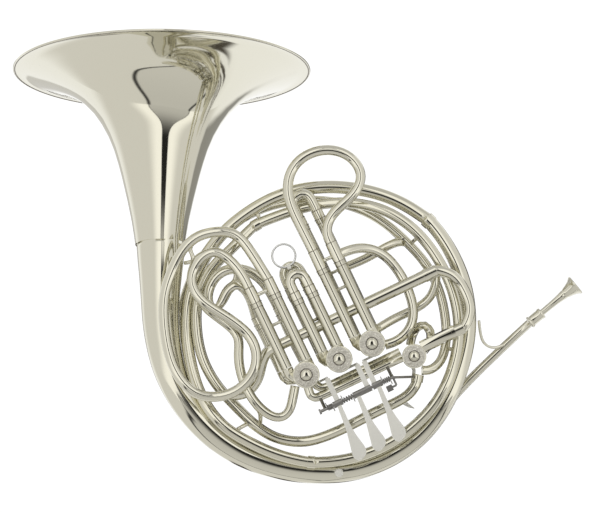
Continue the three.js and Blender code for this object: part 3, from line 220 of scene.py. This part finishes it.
def copy_of(node):
    """A merged copy of a CAD node, with its place in the mesh."""
    source = frame["nodes"][node]
    piece = source.copy()
    piece.data = source.data.copy()
    for key in list(piece.keys()):
        del piece[key]
    piece.name = node + "_dressed"
    bpy.context.scene.collection.objects.link(piece)
    select_only(piece)
    world = piece.matrix_world.copy()
    piece.parent = None
    piece.matrix_world = world
    bpy.ops.object.mode_set(mode="EDIT")
    bpy.ops.mesh.select_all(action="SELECT")
    bpy.ops.mesh.remove_doubles(threshold=COPY_GAP * MM)
    bpy.ops.mesh.normals_make_consistent(inside=False)
    bpy.ops.object.mode_set(mode="OBJECT")
    return piece


def apply_modifier(piece, kind, **settings):
    select_only(piece)
    modifier = piece.modifiers.new(kind.lower(), kind)
    for key, value in settings.items():
        setattr(modifier, key, value)
    bpy.ops.object.modifier_apply(modifier=modifier.name)


# Edges of the rings round the bell branch are between these lengths in mm
SHORT_EDGE = 2.4
LONG_EDGE = 20.0
# How near the pull ring's joint a vertex of its lug is, in mm
LUG_REACH = 4.5


def swell(piece, sides):
    """Puts back what rounding takes from a tube, vertex by vertex: a share of the ring edges beside it."""
    turn = 2 * math.pi / sides
    loss = (1 - (4 + 2 * math.cos(turn)) / 6) / (2 * math.sin(turn / 2))
    shortest = {}
    for edge in piece.data.edges:
        ends = [piece.data.vertices[index].co for index in edge.vertices]
        length = (ends[0] - ends[1]).length / MM
        if length > SHORT_EDGE:
            for index in edge.vertices:
                shortest[index] = min(shortest.get(index, LONG_EDGE), length)
    most = max(shortest.values())
    group = piece.vertex_groups.new(name="swell")
    for index, length in shortest.items():
        group.add([index], length / most, "REPLACE")
    apply_modifier(
        piece, "DISPLACE", strength=loss * most * MM, mid_level=0.0, direction="NORMAL", vertex_group="swell"
    )
    piece.vertex_groups.clear()


def rounded(node, grow, fold, levels=2, finish=None, sides=0, still=None):
    """A tube node with its facets rounded off: quads, creased ends, and the radius put back first.

    The growth is in mm, and triangles are joined over folds up to that angle in degrees. A lug that is near the
    place named still keeps its size."""
    piece = copy_of(node)
    bpy.ops.object.mode_set(mode="EDIT")
    bpy.ops.mesh.select_mode(type="FACE")
    bpy.ops.mesh.select_all(action="SELECT")
    bpy.ops.mesh.tris_convert_to_quads(face_threshold=math.radians(fold), shape_threshold=math.radians(180))
    bpy.ops.mesh.select_mode(type="EDGE")
    bpy.ops.mesh.select_all(action="DESELECT")
    bpy.ops.mesh.edges_select_sharp(sharpness=math.radians(SHARP_ANGLE))
    bpy.ops.transform.edge_crease(value=1.0)
    bpy.ops.object.mode_set(mode="OBJECT")
    if sides:
        swell(piece, sides)
    elif grow:
        group = piece.vertex_groups.new(name="round")
        for vertex in piece.data.vertices:
            near = still is not None and (vertex.co - still).length < LUG_REACH * MM
            group.add([vertex.index], 0.0 if near else 1.0, "REPLACE")
        apply_modifier(
            piece, "DISPLACE", strength=grow * MM, mid_level=0.0, direction="NORMAL", vertex_group="round"
        )
        piece.vertex_groups.clear()
    apply_modifier(piece, "SUBSURF", levels=levels, render_levels=levels)
    finish_piece(piece, node, finish)
    return piece


def bevelled(node, width, finish=None):
    """A flat-faced node with its coplanar faces joined and its edges bevelled, width in mm."""
    piece = copy_of(node)
    bpy.ops.object.mode_set(mode="EDIT")
    bpy.ops.mesh.select_all(action="SELECT")
    bpy.ops.mesh.dissolve_limited(angle_limit=math.radians(FLAT_ANGLE))
    bpy.ops.object.mode_set(mode="OBJECT")
    apply_modifier(
        piece, "BEVEL", width=width * MM, segments=2, limit_method="ANGLE", angle_limit=math.radians(BEVEL_ANGLE)
    )
    finish_piece(piece, node, finish)
    apply_modifier(piece, "WEIGHTED_NORMAL", keep_sharp=True, weight=100)
    return piece


def turned(name, outline, centre, axis, segments=64, closed=True):
    """A lathe piece: one circle, drawn out ring by ring along its axis.

    The outline holds a radius and a height in mm for each ring."""
    clear_selection()
    first_radius, first_height = outline[0]
    bpy.ops.mesh.primitive_circle_add(vertices=segments, radius=first_radius * MM, location=(0, 0, 0))
    piece = bpy.context.object
    piece.name = name
    bpy.ops.object.mode_set(mode="EDIT")
    bpy.ops.mesh.select_mode(type="EDGE")
    bpy.ops.mesh.select_all(action="SELECT")
    bpy.ops.transform.translate(value=(0, 0, first_height * MM))
    radius, height = first_radius, first_height
    rest = outline[1:] + ([outline[0]] if closed else [])
    for next_radius, next_height in rest:
        bpy.ops.mesh.extrude_region_move()
        bpy.ops.transform.translate(value=(0, 0, (next_height - height) * MM))
        scale = next_radius / radius
        bpy.ops.transform.resize(value=(scale, scale, 1), center_override=(0, 0, next_height * MM))
        radius, height = next_radius, next_height
    bpy.ops.mesh.select_all(action="SELECT")
    bpy.ops.mesh.remove_doubles(threshold=LATHE_GAP * MM)
    bpy.ops.mesh.normals_make_consistent(inside=False)
    bpy.ops.object.mode_set(mode="OBJECT")
    piece.rotation_mode = "QUATERNION"
    piece.rotation_quaternion = Vector((0, 0, 1)).rotation_difference(axis)
    piece.location = centre
    select_only(piece)
    bpy.ops.object.transform_apply(location=True, rotation=True, scale=True)
    return piece


# Tubes, sleeves and slides

TUBES = (
    "outer_branch middle_branch inner_branch lead_branch leadpipe tuning_crossover_tube link_tube_front "
    "link_tube_rear third_valve_branch first_valve_loop change_valve_tube return_tube main_tuning_slide"
).split()
SLIDES = "first_f second_f third_f first_bflat second_bflat third_bflat".split()
VALVES = "first second third change".split()
COILS = "outer_branch middle_branch inner_branch lead_branch return_tube third_valve_branch".split()


def spot_finish(piece, place, reach, finish):
    """Another finish on the faces near a place: a flat lug or flange that would mirror the camera."""
    piece.data.materials.append(finish.material)
    for face in piece.data.polygons:
        if (face.center - place).length < reach * MM:
            face.material_index = len(piece.data.materials) - 1


joints = {joint["name"]: joint for joint in record["behaviour"]["joints"]}
mounts = {mount["name"]: mount for mount in record["mounts"]}
ring_place = Vector(joints["pull_ring_swing"]["pos_m"])
flange_place = Vector(mounts["finger_hook_flange"]["pos_m"])
TUBE_GROWTH, BRACE_GROWTH, RING_GROWTH, SPRING_GROWTH = 0.6, 0.3, 0.22, 0.12
TUBE_FOLD, WIRE_FOLD, SPRING_FOLD, BRANCH_FOLD = 40, 55, 60, 26
BRANCH_SIDES = 12
RING_LUG_REACH = 4.0
FLANGE_REACH = 5.5

# The coils take the darker copy of the silver, which is painted shade
for tube in TUBES:
    rounded(tube, TUBE_GROWTH, TUBE_FOLD, finish=coil_silver_painted_shade if tube in COILS else None)
dressed_slides = {
    slide: rounded(
        slide + "_slide", TUBE_GROWTH, TUBE_FOLD, still=ring_place if slide == "second_bflat" else None
    )
    for slide in SLIDES
}
# The sleeves take the darker copy of the silver, which is painted shade
for slide in SLIDES:
    rounded(slide + "_sleeves", 0.0, TUBE_FOLD, levels=1, finish=sleeve_silver_painted_shade)
spot_finish(dressed_slides["second_bflat"], ring_place, RING_LUG_REACH, lever_silver)
branch = rounded("bell_branch", 0.0, BRANCH_FOLD, sides=BRANCH_SIDES)
spot_finish(branch, flange_place, FLANGE_REACH, lever_silver)
rounded("leadpipe_wire_brace", BRACE_GROWTH, WIRE_FOLD)
rounded("pull_ring", RING_GROWTH, WIRE_FOLD)

# Valves, levers and their hinge

EDGE_BEVEL = 0.3
PLATE_BEVEL = 0.35
for valve in VALVES:
    bevelled(valve + "_valve_casing", EDGE_BEVEL)
    bevelled(valve + "_valve_rotor", EDGE_BEVEL)
    bevelled(valve + "_valve_bearing_plate", PLATE_BEVEL)
    bevelled(valve + "_valve_stop_arm", EDGE_BEVEL)
hinge_place = Vector(joints["first_lever_press"]["pos_m"])
hinge_axis = Vector(joints["first_lever_press"]["axis"])
# The barrel round the hinge rod is dark. Faces there that look straight to the front or the back are the plate's
BARREL_REACH = 3.45
PLATE_FACING = 0.999
for name in "first_lever second_lever third_lever".split():
    lever = bevelled(name, EDGE_BEVEL, lever_silver)
    lever.data.materials.append(dark_steel.material)
    for face in lever.data.polygons:
        to_hinge = (face.center - hinge_place).cross(hinge_axis).length
        if to_hinge < BARREL_REACH * MM and abs(face.normal.y) < PLATE_FACING:
            face.material_index = 1
bevelled("thumb_lever", EDGE_BEVEL, lever_silver)
for name in "first_lever_spring second_lever_spring third_lever_spring".split():
    rounded(name, SPRING_GROWTH, SPRING_FOLD, levels=1)
bevelled("hinge_rod", EDGE_BEVEL)
bevelled("thumb_pin", EDGE_BEVEL)

# Seams: a fine ring of painted shade at each sleeve's mouth, at the foot of its collar and at the far end of each
# ferrule

# The valve section: the second valve's middle, the way along the valves and the way up the slides
SECTION_ORIGIN = Vector((-61.205, -29.0, 97.616)) * MM
SECTION_ALONG = Vector((0.902585, 0, 0.430511))
SECTION_UP = Vector((-0.430511, 0, 0.902585))
VALVE_PITCH = 37.7
RING_RADIUS = 155.5
LAYER_DEPTH = 14.5
COLLAR_LENGTH = 5.0
COLLAR_RADIUS, SLEEVE_RADIUS, FERRULE_RADIUS = 6.75, 6.2, 5.95
SEAM_DEPTH, SEAM_PROUD, SEAM_HALF = 0.4, 0.1, 0.3
# For each slide: its valve's step from the second one, its side (-1 is the front), its legs as shares of the valve
# pitch, then the sleeve's mouth and the ferrule's length as shares of the ring's radius
SLIDE_ROWS = {
    "first_f": (1, -1, (-0.363, 0.17), 0.588, 0.135),
    "second_f": (0, -1, (-0.332, 0.117), 0.476, 0.051),
    "third_f": (-1, -1, (-0.398, 0.18), 0.576, 0.109),
    "first_bflat": (1, 1, (-0.318, 0.199), 0.9, 0.058),
    "second_bflat": (0, 1, (-0.385, 0.085), 0.514, 0.051),
    "third_bflat": (-1, 1, (-0.557, 0.106), 0.437, 0.051),
}


def seam(name, along, depth, up, radius, node):
    place = SECTION_ORIGIN + (SECTION_ALONG * along + SECTION_UP * up + Vector((0, depth, 0))) * MM
    inside, outside = radius - SEAM_DEPTH, radius + SEAM_PROUD
    outline = [(inside, -SEAM_HALF), (outside, -SEAM_HALF), (outside, SEAM_HALF), (inside, SEAM_HALF)]
    painted_shade_line(turned(name, outline, place, SECTION_UP, segments=32), node)


for slide, (step, side, legs, mouth, ferrule) in SLIDE_ROWS.items():
    for number, leg in enumerate(legs):
        along = (step + leg) * VALVE_PITCH
        depth = side * LAYER_DEPTH
        top = mouth * RING_RADIUS
        foot = top - COLLAR_LENGTH
        tip = top + ferrule * RING_RADIUS
        seam(f"{slide}_mouth_seam_shade_{number}", along, depth, top, COLLAR_RADIUS, slide + "_sleeves")
        seam(f"{slide}_foot_seam_shade_{number}", along, depth, foot, SLEEVE_RADIUS, slide + "_sleeves")
        seam(f"{slide}_ferrule_seam_shade_{number}", along, depth, tip, FERRULE_RADIUS, slide + "_slide")

# Bell

bell_axis = Vector(mounts["bell_rim"]["axis"])
BELL_LENGTH = 190.15
BELL_RADIUS = 155.5
# The rim's mount is on its front, at this radius
RIM_POINT_RADIUS = 154.2
rim_point = Vector(mounts["bell_rim"]["pos_m"])
rim_front = TO_CAMERA - bell_axis * TO_CAMERA.dot(bell_axis)
rim_centre = rim_point - rim_front.normalized() * RIM_POINT_RADIUS * MM
throat = rim_centre - bell_axis * BELL_LENGTH * MM
# The bell's outside from the rim down: the distance as a share of the length, and the radius as a share of the rim's
BELL_SHARES = [
    (0.012, 0.94), (0.025, 0.9), (0.044, 0.827), (0.066, 0.76), (0.093, 0.687), (0.123, 0.62),
    (0.153, 0.567), (0.186, 0.52), (0.246, 0.453), (0.311, 0.4), (0.385, 0.352), (0.465, 0.313),
    (0.54, 0.285), (0.615, 0.26), (0.748, 0.221), (0.86, 0.192), (0.95, 0.174),
]
WALL = 1.0
THROAT_OUTSIDE = 25.7
THROAT_INSIDE = 24.6
outer = [(THROAT_OUTSIDE, 0.0)] + [
    (share * BELL_RADIUS, (1 - down) * BELL_LENGTH) for down, share in reversed(BELL_SHARES)
]
bead = [
    (BELL_RADIUS - 2.4, BELL_LENGTH - 2.1), (BELL_RADIUS - 0.9, BELL_LENGTH - 2.3),
    (BELL_RADIUS - 0.1, BELL_LENGTH - 1.6), (BELL_RADIUS - 0.1, BELL_LENGTH - 0.7),
    (BELL_RADIUS - 0.8, BELL_LENGTH - 0.1), (BELL_RADIUS - 2.0, BELL_LENGTH - 0.1),
]
inner = []
for index in range(len(outer) - 1, 0, -1):
    here = outer[index]
    before = outer[index - 1]
    after = outer[min(index + 1, len(outer) - 1)]
    run = Vector((after[0] - before[0], after[1] - before[1])).normalized()
    inner.append((here[0] - run.y * WALL, here[1] + run.x * WALL))
inner.append((THROAT_INSIDE, 0.0))
bell = turned("bell_dressed", outer + bead + inner, throat, bell_axis, segments=144)
finish_piece(bell, "bell", angle=60)
# Painted shade: a thin dark ring at the foot of the rim's bead, where shade falls on the flare
rim_shade_line = [
    (BELL_RADIUS - 2.6, BELL_LENGTH - 1.9), (BELL_RADIUS - 1.4, BELL_LENGTH - 1.9),
    (BELL_RADIUS - 1.4, BELL_LENGTH - 2.4), (BELL_RADIUS - 2.6, BELL_LENGTH - 2.4),
]
painted_shade_line(turned("bell_rim_painted_shade", rim_shade_line, throat, bell_axis, segments=144), "bell")

# Mouthpiece and receiver

# The mount is a point of the crown, at this radius. The rim's middle has the depth of the box's middle, and of the
# two such places it is the one whose axis passes nearer to that middle
CROWN_RADIUS = 9.8
mouth_axis = Vector(mounts["mouthpiece_rim"]["axis"])
crown_point = Vector(mounts["mouthpiece_rim"]["pos_m"])
mouth_low, mouth_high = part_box("mouthpiece")
mouth_middle = (mouth_low + mouth_high) / 2
cup_across = mouth_axis.cross(Vector((0, 1, 0))).normalized()
drop = mouth_middle.y - crown_point.y
lift = math.sqrt(max((CROWN_RADIUS * MM) ** 2 - drop ** 2, 0))
crown_centres = [crown_point + Vector((0, drop, 0)) + cup_across * lift * side for side in (1, -1)]
rim_mid = min(crown_centres, key=lambda centre: (mouth_middle - centre).cross(mouth_axis).length)
MOUTH_LENGTH = 55.4
mouth_base = rim_mid - mouth_axis * MOUTH_LENGTH * MM
MOUTH_OUTLINE = [
    (1.9, 0.0), (3.2, 0.0), (3.3, 6.0), (3.35, 14.0), (3.5, 22.0), (3.8, 29.0), (4.3, 34.5), (4.9, 38.5), (4.7, 39.4),
    (5.6, 42.0), (6.9, 46.5), (8.3, 50.0), (9.6, 52.2), (10.6, 53.2), (11.0, 54.2), (10.7, 55.1), (9.8, 55.4),
    (9.0, 55.2), (8.5, 54.6), (8.1, 52.0), (7.0, 47.5), (5.0, 44.0), (2.4, 41.5), (1.9, 40.0),
]
mouthpiece = turned("mouthpiece_dressed", MOUTH_OUTLINE, mouth_base, mouth_axis, segments=48)
finish_piece(mouthpiece, "mouthpiece", angle=40)
# The mouthpiece is inserted this far, and the receiver stands off the leadpipe by this gap
RECEIVER_LENGTH = 17
MOUTH_INSERT = 9
RECEIVER_GAP = 0.6
receiver_base = mouth_base - mouth_axis * (RECEIVER_LENGTH - MOUTH_INSERT - RECEIVER_GAP) * MM
RECEIVER_OUTLINE = [
    (3.7, 0.0), (5.4, 0.0), (6.5, 0.5), (6.6, 1.6), (6.2, 2.6), (5.5, 3.0), (5.55, 13.5), (6.0, 14.4), (6.1, 16.2),
    (5.6, 17.0), (3.7, 17.0),
]
receiver = turned("mouthpiece_receiver_dressed", RECEIVER_OUTLINE, receiver_base, mouth_axis, segments=40)
finish_piece(receiver, "mouthpiece_receiver", angle=40)

# Valve caps: a milled edge, an engraved face, a polished boss and painted shade in the groove round the boss

# Radius and height as shares of the cap's own, from the foot to the top of the boss
CAP_OUTLINE_SHARES = [
    (0.0001, 0.0), (0.97, 0.0), (1.0, 0.12), (1.0, 0.46), (0.97, 0.56), (0.93, 0.6), (0.9, 0.56), (0.86, 0.57),
    (0.5, 0.59), (0.48, 0.59), (0.465, 0.5), (0.43, 0.5), (0.415, 0.6), (0.4, 0.66), (0.36, 0.7), (0.35, 0.78),
    (0.3, 0.9), (0.2, 0.97), (0.1, 1.0), (0.0001, 1.0),
]
# Where the boss, its groove and the milled edge are, as shares too
BOSS_REACH, BOSS_FOOT = 0.41, 0.62
GROOVE_FROM, GROOVE_TO = 0.42, 0.475
EDGE_FROM = 0.9
for valve in VALVES:
    low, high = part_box(valve + "_valve_cap")
    middle = (low + high) / 2
    cap_radius = (high.x - low.x) / 2 / MM
    cap_height = (high.y - low.y) / MM
    base = Vector((middle.x, high.y, middle.z))
    outline = [(r * cap_radius, h * cap_height) for r, h in CAP_OUTLINE_SHARES]
    cap = turned(valve + "_valve_cap_dressed", outline, base, TO_CAMERA, segments=72, closed=False)
    finish_piece(cap, valve + "_valve_cap", engraved, angle=30)
    cap.data.materials.append(silver.material)
    cap.data.materials.append(painted_seam_shade.material)
    boss_height = BOSS_FOOT * cap_height * MM
    # The boss and the milled edge take the polished silver, and the groove round the boss painted shade
    for face in cap.data.polygons:
        centre = face.center
        reach = math.hypot(centre.x - middle.x, centre.z - middle.z) / MM / cap_radius
        above = high.y - centre.y
        if reach < BOSS_REACH and above > boss_height or reach > EDGE_FROM:
            face.material_index = 1
        elif GROOVE_FROM < reach < GROOVE_TO and above < boss_height:
            face.material_index = 2

# Stage: a white floor, a round studio that only reflections show, and soft lamps

CENTRE = Vector((-0.1016, 0.0, 0.2038))
WARM = (1.0, 0.985, 0.95)
BROWN = (1.0, 0.86, 0.68)
WHITE = (1, 1, 1, 1)


class Glow(Finish):
    """A stage material that only glows. Its strength can vary, and where its cover is low it can be seen through."""

    def __init__(self, name, tint):
        self.material = bpy.data.materials.new(name)
        self.material.use_nodes = True
        self.tree = self.material.node_tree
        self.tree.nodes.clear()
        self.tint = tint

    def ramp(self, value, low, high, start=0.0, end=1.0):
        return self.node("ShaderNodeMapRange", {"interpolation_type": "SMOOTHSTEP"}, {
            "Value": value, "From Min": low, "From Max": high, "To Min": start, "To Max": end,
        })

    def blend(self, share, first, second):
        return self.node("ShaderNodeMix", {"data_type": "FLOAT", "clamp_factor": True}, {
            0: share, NUMBER_A: first, NUMBER_B: second,
        })

    def finish(self, level, cover=None):
        grey = self.node("ShaderNodeCombineColor", {}, {0: level, 1: level, 2: level})
        paint = self.node("ShaderNodeMix", {"data_type": "RGBA", "blend_type": "MULTIPLY"}, {
            "Factor": 1.0, COLOR_A: grey, COLOR_B: (*self.tint, 1),
        }, COLOR_RESULT)
        surface = self.node("ShaderNodeEmission", {}, {"Color": paint, "Strength": 1.0})
        if cover is not None:
            clear = self.node("ShaderNodeBsdfTransparent", {}, {})
            surface = self.node("ShaderNodeMixShader", {}, {0: cover, 1: clear, 2: surface})
        self.node("ShaderNodeOutputMaterial", {}, {"Surface": surface}, None)
        return self.material

    def axes(self):
        place = self.place()
        return [self.node("ShaderNodeSeparateXYZ", {}, {0: place}, letter) for letter in "XYZ"]


def stage_piece(name, material):
    made = bpy.context.object
    made.name = name
    made.data.materials.append(material)
    made.visible_camera = False
    made.visible_diffuse = False
    made.visible_shadow = False
    return made


def soft_card(name, centre, size, facing, tint, grey, fade=0.2, bands=0):
    """A card with soft edges, or with soft bands too. The fade is a share of its width and of its height."""
    glow = Glow(name + "_paint", tint)
    x, y, _ = glow.axes()
    across = glow.ramp(x.math("ABSOLUTE"), 0.5 - fade, 0.5, 1.0, 0.0)
    upright = glow.ramp(y.math("ABSOLUTE"), 0.5 - fade, 0.5, 1.0, 0.0)
    cover = across * upright
    if bands:
        wave = ((x + y * 0.6) * (2 * math.pi * bands)).math("SINE")
        cover = cover * glow.ramp(wave, -0.5, 0.6)
    clear_selection()
    bpy.ops.mesh.primitive_plane_add(size=1, location=centre)
    made = stage_piece(name, glow.finish(grey, cover))
    made.scale = (*size, 1)
    made.rotation_mode = "QUATERNION"
    made.rotation_quaternion = facing.to_track_quat("-Z", "Y")


WALL_RADIUS = 1.1
WALL_LOW = -0.55
WALL_HIGH = 1.3
TO_DEGREES = 180 / math.pi
PANEL_BRIGHT, PANEL_DIM = 1.2, 0.79
GAP_AZIMUTH, GAP_HALF, GAP_LEVEL, GAP_TOP_LEVEL = 3.0, 7.0, 0.02, 0.85
DUSK_AZIMUTH, DUSK_LEVEL = 140.0, 0.34

# The wall: azimuth 0 is towards the camera. A dark gap stands there, wider near the floor, with an outline and a
# bright panel on either side. Behind the horn the wall is left out, but for the dusk, a darker stretch on the right.
wall_glow = Glow("studio_wall_paint", WARM)
wall_x, wall_y, wall_z = wall_glow.axes()
azimuth = wall_x.math("ARCTAN2", wall_y * -1.0) * TO_DEGREES
lowered = wall_glow.ramp(wall_z, -0.52, -0.06, 1.0, 0.0)
gap_middle = lowered * 8.0 + GAP_AZIMUTH
gap_half = lowered * lowered * 30.0 + lowered * 4.0 + GAP_HALF
beside = (azimuth - gap_middle).math("ABSOLUTE") - gap_half
gap_level = lowered * 0.58 + GAP_LEVEL
gap_level = wall_glow.blend(wall_glow.ramp(wall_z, 0.12, 0.4), gap_level, GAP_TOP_LEVEL)
panel_level = wall_glow.ramp(beside, 10.0, 38.0, PANEL_BRIGHT, PANEL_DIM)
wall_level = wall_glow.blend(wall_glow.ramp(beside, -1.0, 2.5), gap_level, panel_level)
outline = wall_glow.ramp((beside + 0.2).math("ABSOLUTE"), 0.0, 1.6, 0.25, 1.0)
wall_level = wall_level * outline
dusk = wall_glow.ramp((azimuth - DUSK_AZIMUTH).math("ABSOLUTE"), 22.0, 32.0, 1.0, 0.0)
dusk = dusk * wall_glow.ramp((wall_z - 0.05).math("ABSOLUTE"), 0.3, 0.5, 1.0, 0.0)
wall_level = wall_glow.blend(dusk, wall_level, DUSK_LEVEL)
wall_cover = wall_glow.ramp(azimuth.math("ABSOLUTE"), 105.0, 128.0, 1.0, 0.0).math("MAXIMUM", dusk)
clear_selection()
bpy.ops.mesh.primitive_cylinder_add(
    vertices=96, radius=WALL_RADIUS, depth=WALL_HIGH - WALL_LOW, end_fill_type="NOTHING",
    location=(0, 0, (WALL_HIGH + WALL_LOW) / 2),
)
bpy.ops.object.transform_apply(location=True, rotation=True, scale=True)
bpy.context.object.location = CENTRE
stage_piece("studio_wall", wall_glow.finish(wall_level, wall_cover))

# The ground: a darker patch that narrows towards a point under the horn, with a thin dark outline
PATCH_BACK, PATCH_AZIMUTH = 0.2, 9.4
ground_glow = Glow("studio_ground_paint", WARM)
ground_x, ground_y, _ = ground_glow.axes()
ground_front = PATCH_BACK - ground_y
ground_azimuth = ground_x.math("ARCTAN2", ground_front) * TO_DEGREES
reach = (ground_x * ground_x + ground_front * ground_front).math("SQRT")
patch_half = ground_glow.ramp(reach, 0.14, 0.5, 0.0, 58.0) - ground_glow.ramp(reach, 0.5, 1.26, 0.0, 23.0)
outside = (ground_azimuth - PATCH_AZIMUTH).math("ABSOLUTE") - patch_half
patch_level = ground_glow.ramp(reach, 0.2, 1.1, 0.7, 0.64)
ground_level = ground_glow.blend(ground_glow.ramp(outside, -1.0, 2.5), patch_level, PANEL_DIM)
ground_line = ground_glow.ramp((outside + 0.2).math("ABSOLUTE"), 0.5, 4.5, 0.92, 0.0)
ground_level = ground_level * (1.0 - ground_line * ground_glow.ramp(reach, 0.14, 0.2))
clear_selection()
bpy.ops.mesh.primitive_circle_add(vertices=96, radius=WALL_RADIUS, fill_type="NGON", location=(0, 0, 0))
bpy.context.object.location = CENTRE + Vector((0, 0, WALL_LOW + 0.002))
ground_back = ground_y + ground_glow.ramp(ground_x, -0.3, 0.1, 0.0, 0.5)
ground_cover = ground_glow.ramp(ground_back, 0.5, 0.9, 1.0, 0.0)
stage_piece("studio_ground", ground_glow.finish(ground_level, ground_cover))

# The ceiling, and the cards that the tubes' sides reflect
soft_card("studio_ceiling", CENTRE + Vector((0, -0.1, WALL_HIGH)), (2.6, 2.6), DOWNWARD, WARM, 0.6, 0.1)
for name, offset, size, tint, grey, fade, bands in (
    ("behind_coils", (0.08, 0.05, -0.14), (0.40, 0.36), BROWN, 0.07, 0.1, 6),
    ("far_left", (-0.70, 1.2, 0.0), (0.75, 0.62), WARM, 0.68, 0.08, 0),
    ("behind_bell", (-0.16, 0.27, -0.06), (0.24, 0.36), BROWN, 0.12, 0.3, 0),
):
    soft_card(name, CENTRE + Vector(offset), size, TO_CAMERA, tint, grey, fade, bands)

FLOOR_SIZE, FLOOR_HEIGHT = 60, -0.36
FLOOR_GLOW, GLOW_SHARE, WORLD_STRENGTH = 1.06, 0.94, 1.08
clear_selection()
bpy.ops.mesh.primitive_plane_add(size=FLOOR_SIZE, location=(0, 0, FLOOR_HEIGHT))
floor = bpy.context.object
floor.name = "floor"
# For the camera, reflections and glass the floor is nearly all white glow, and for any other ray a pale matt one
paint = Finish("pale_floor", (0.9, 0.9, 0.89), 0.9, metallic=0.0)
path = paint.node("ShaderNodeLightPath", {}, {}, None)
camera_ray = Value(paint, path.outputs["Is Camera Ray"])
glossy_ray = Value(paint, path.outputs["Is Glossy Ray"])
transmission_ray = Value(paint, path.outputs["Is Transmission Ray"])
seen = camera_ray.math("MAXIMUM", glossy_ray).math("MAXIMUM", transmission_ray)
glow = paint.node("ShaderNodeEmission", {}, {"Color": WHITE, "Strength": FLOOR_GLOW})
mixed = paint.node("ShaderNodeMixShader", {}, {0: seen * GLOW_SHARE, 1: paint.shader.outputs[0], 2: glow})
paint.tree.links.new(mixed.socket, paint.tree.nodes["Material Output"].inputs["Surface"])
floor.data.materials.append(paint.material)

world = bpy.data.worlds.new("white_room")
bpy.context.scene.world = world
world.use_nodes = True
background = world.node_tree.nodes["Background"]
background.inputs["Color"].default_value = WHITE
background.inputs["Strength"].default_value = WORLD_STRENGTH


def lamp(name, place, target, size, power):
    data = bpy.data.lights.new(name, "AREA")
    data.shape = "RECTANGLE"
    data.size, data.size_y = size
    data.energy = power
    made = bpy.data.objects.new(name, data)
    bpy.context.scene.collection.objects.link(made)
    made.location = place
    made.rotation_mode = "QUATERNION"
    made.rotation_quaternion = (Vector(target) - Vector(place)).to_track_quat("-Z", "Y")


SOFTBOX = (0.5, 1.6)
lamp("left_softbox", (-0.9, -1.9, 1.1), CENTRE, SOFTBOX, 6)
lamp("right_softbox", (0.8, -1.9, 0.9), CENTRE, SOFTBOX, 5)

# The photograph's camera: sensor width and lens in mm, distance in m
SENSOR_WIDTH, LENS, CAMERA_DISTANCE = 36, 694.5, 12.03
camera_data = bpy.data.cameras.new("camera")
camera_data.sensor_width = SENSOR_WIDTH
camera_data.lens = LENS
camera_data.clip_end = 100
camera = bpy.data.objects.new("camera", camera_data)
bpy.context.scene.collection.objects.link(camera)
camera.location = (CENTRE.x, -CAMERA_DISTANCE, CENTRE.z)
camera.rotation_euler = (math.radians(90), 0, 0)
bpy.context.scene.camera = camera
bpy.context.scene.view_settings.view_transform = "Standard"
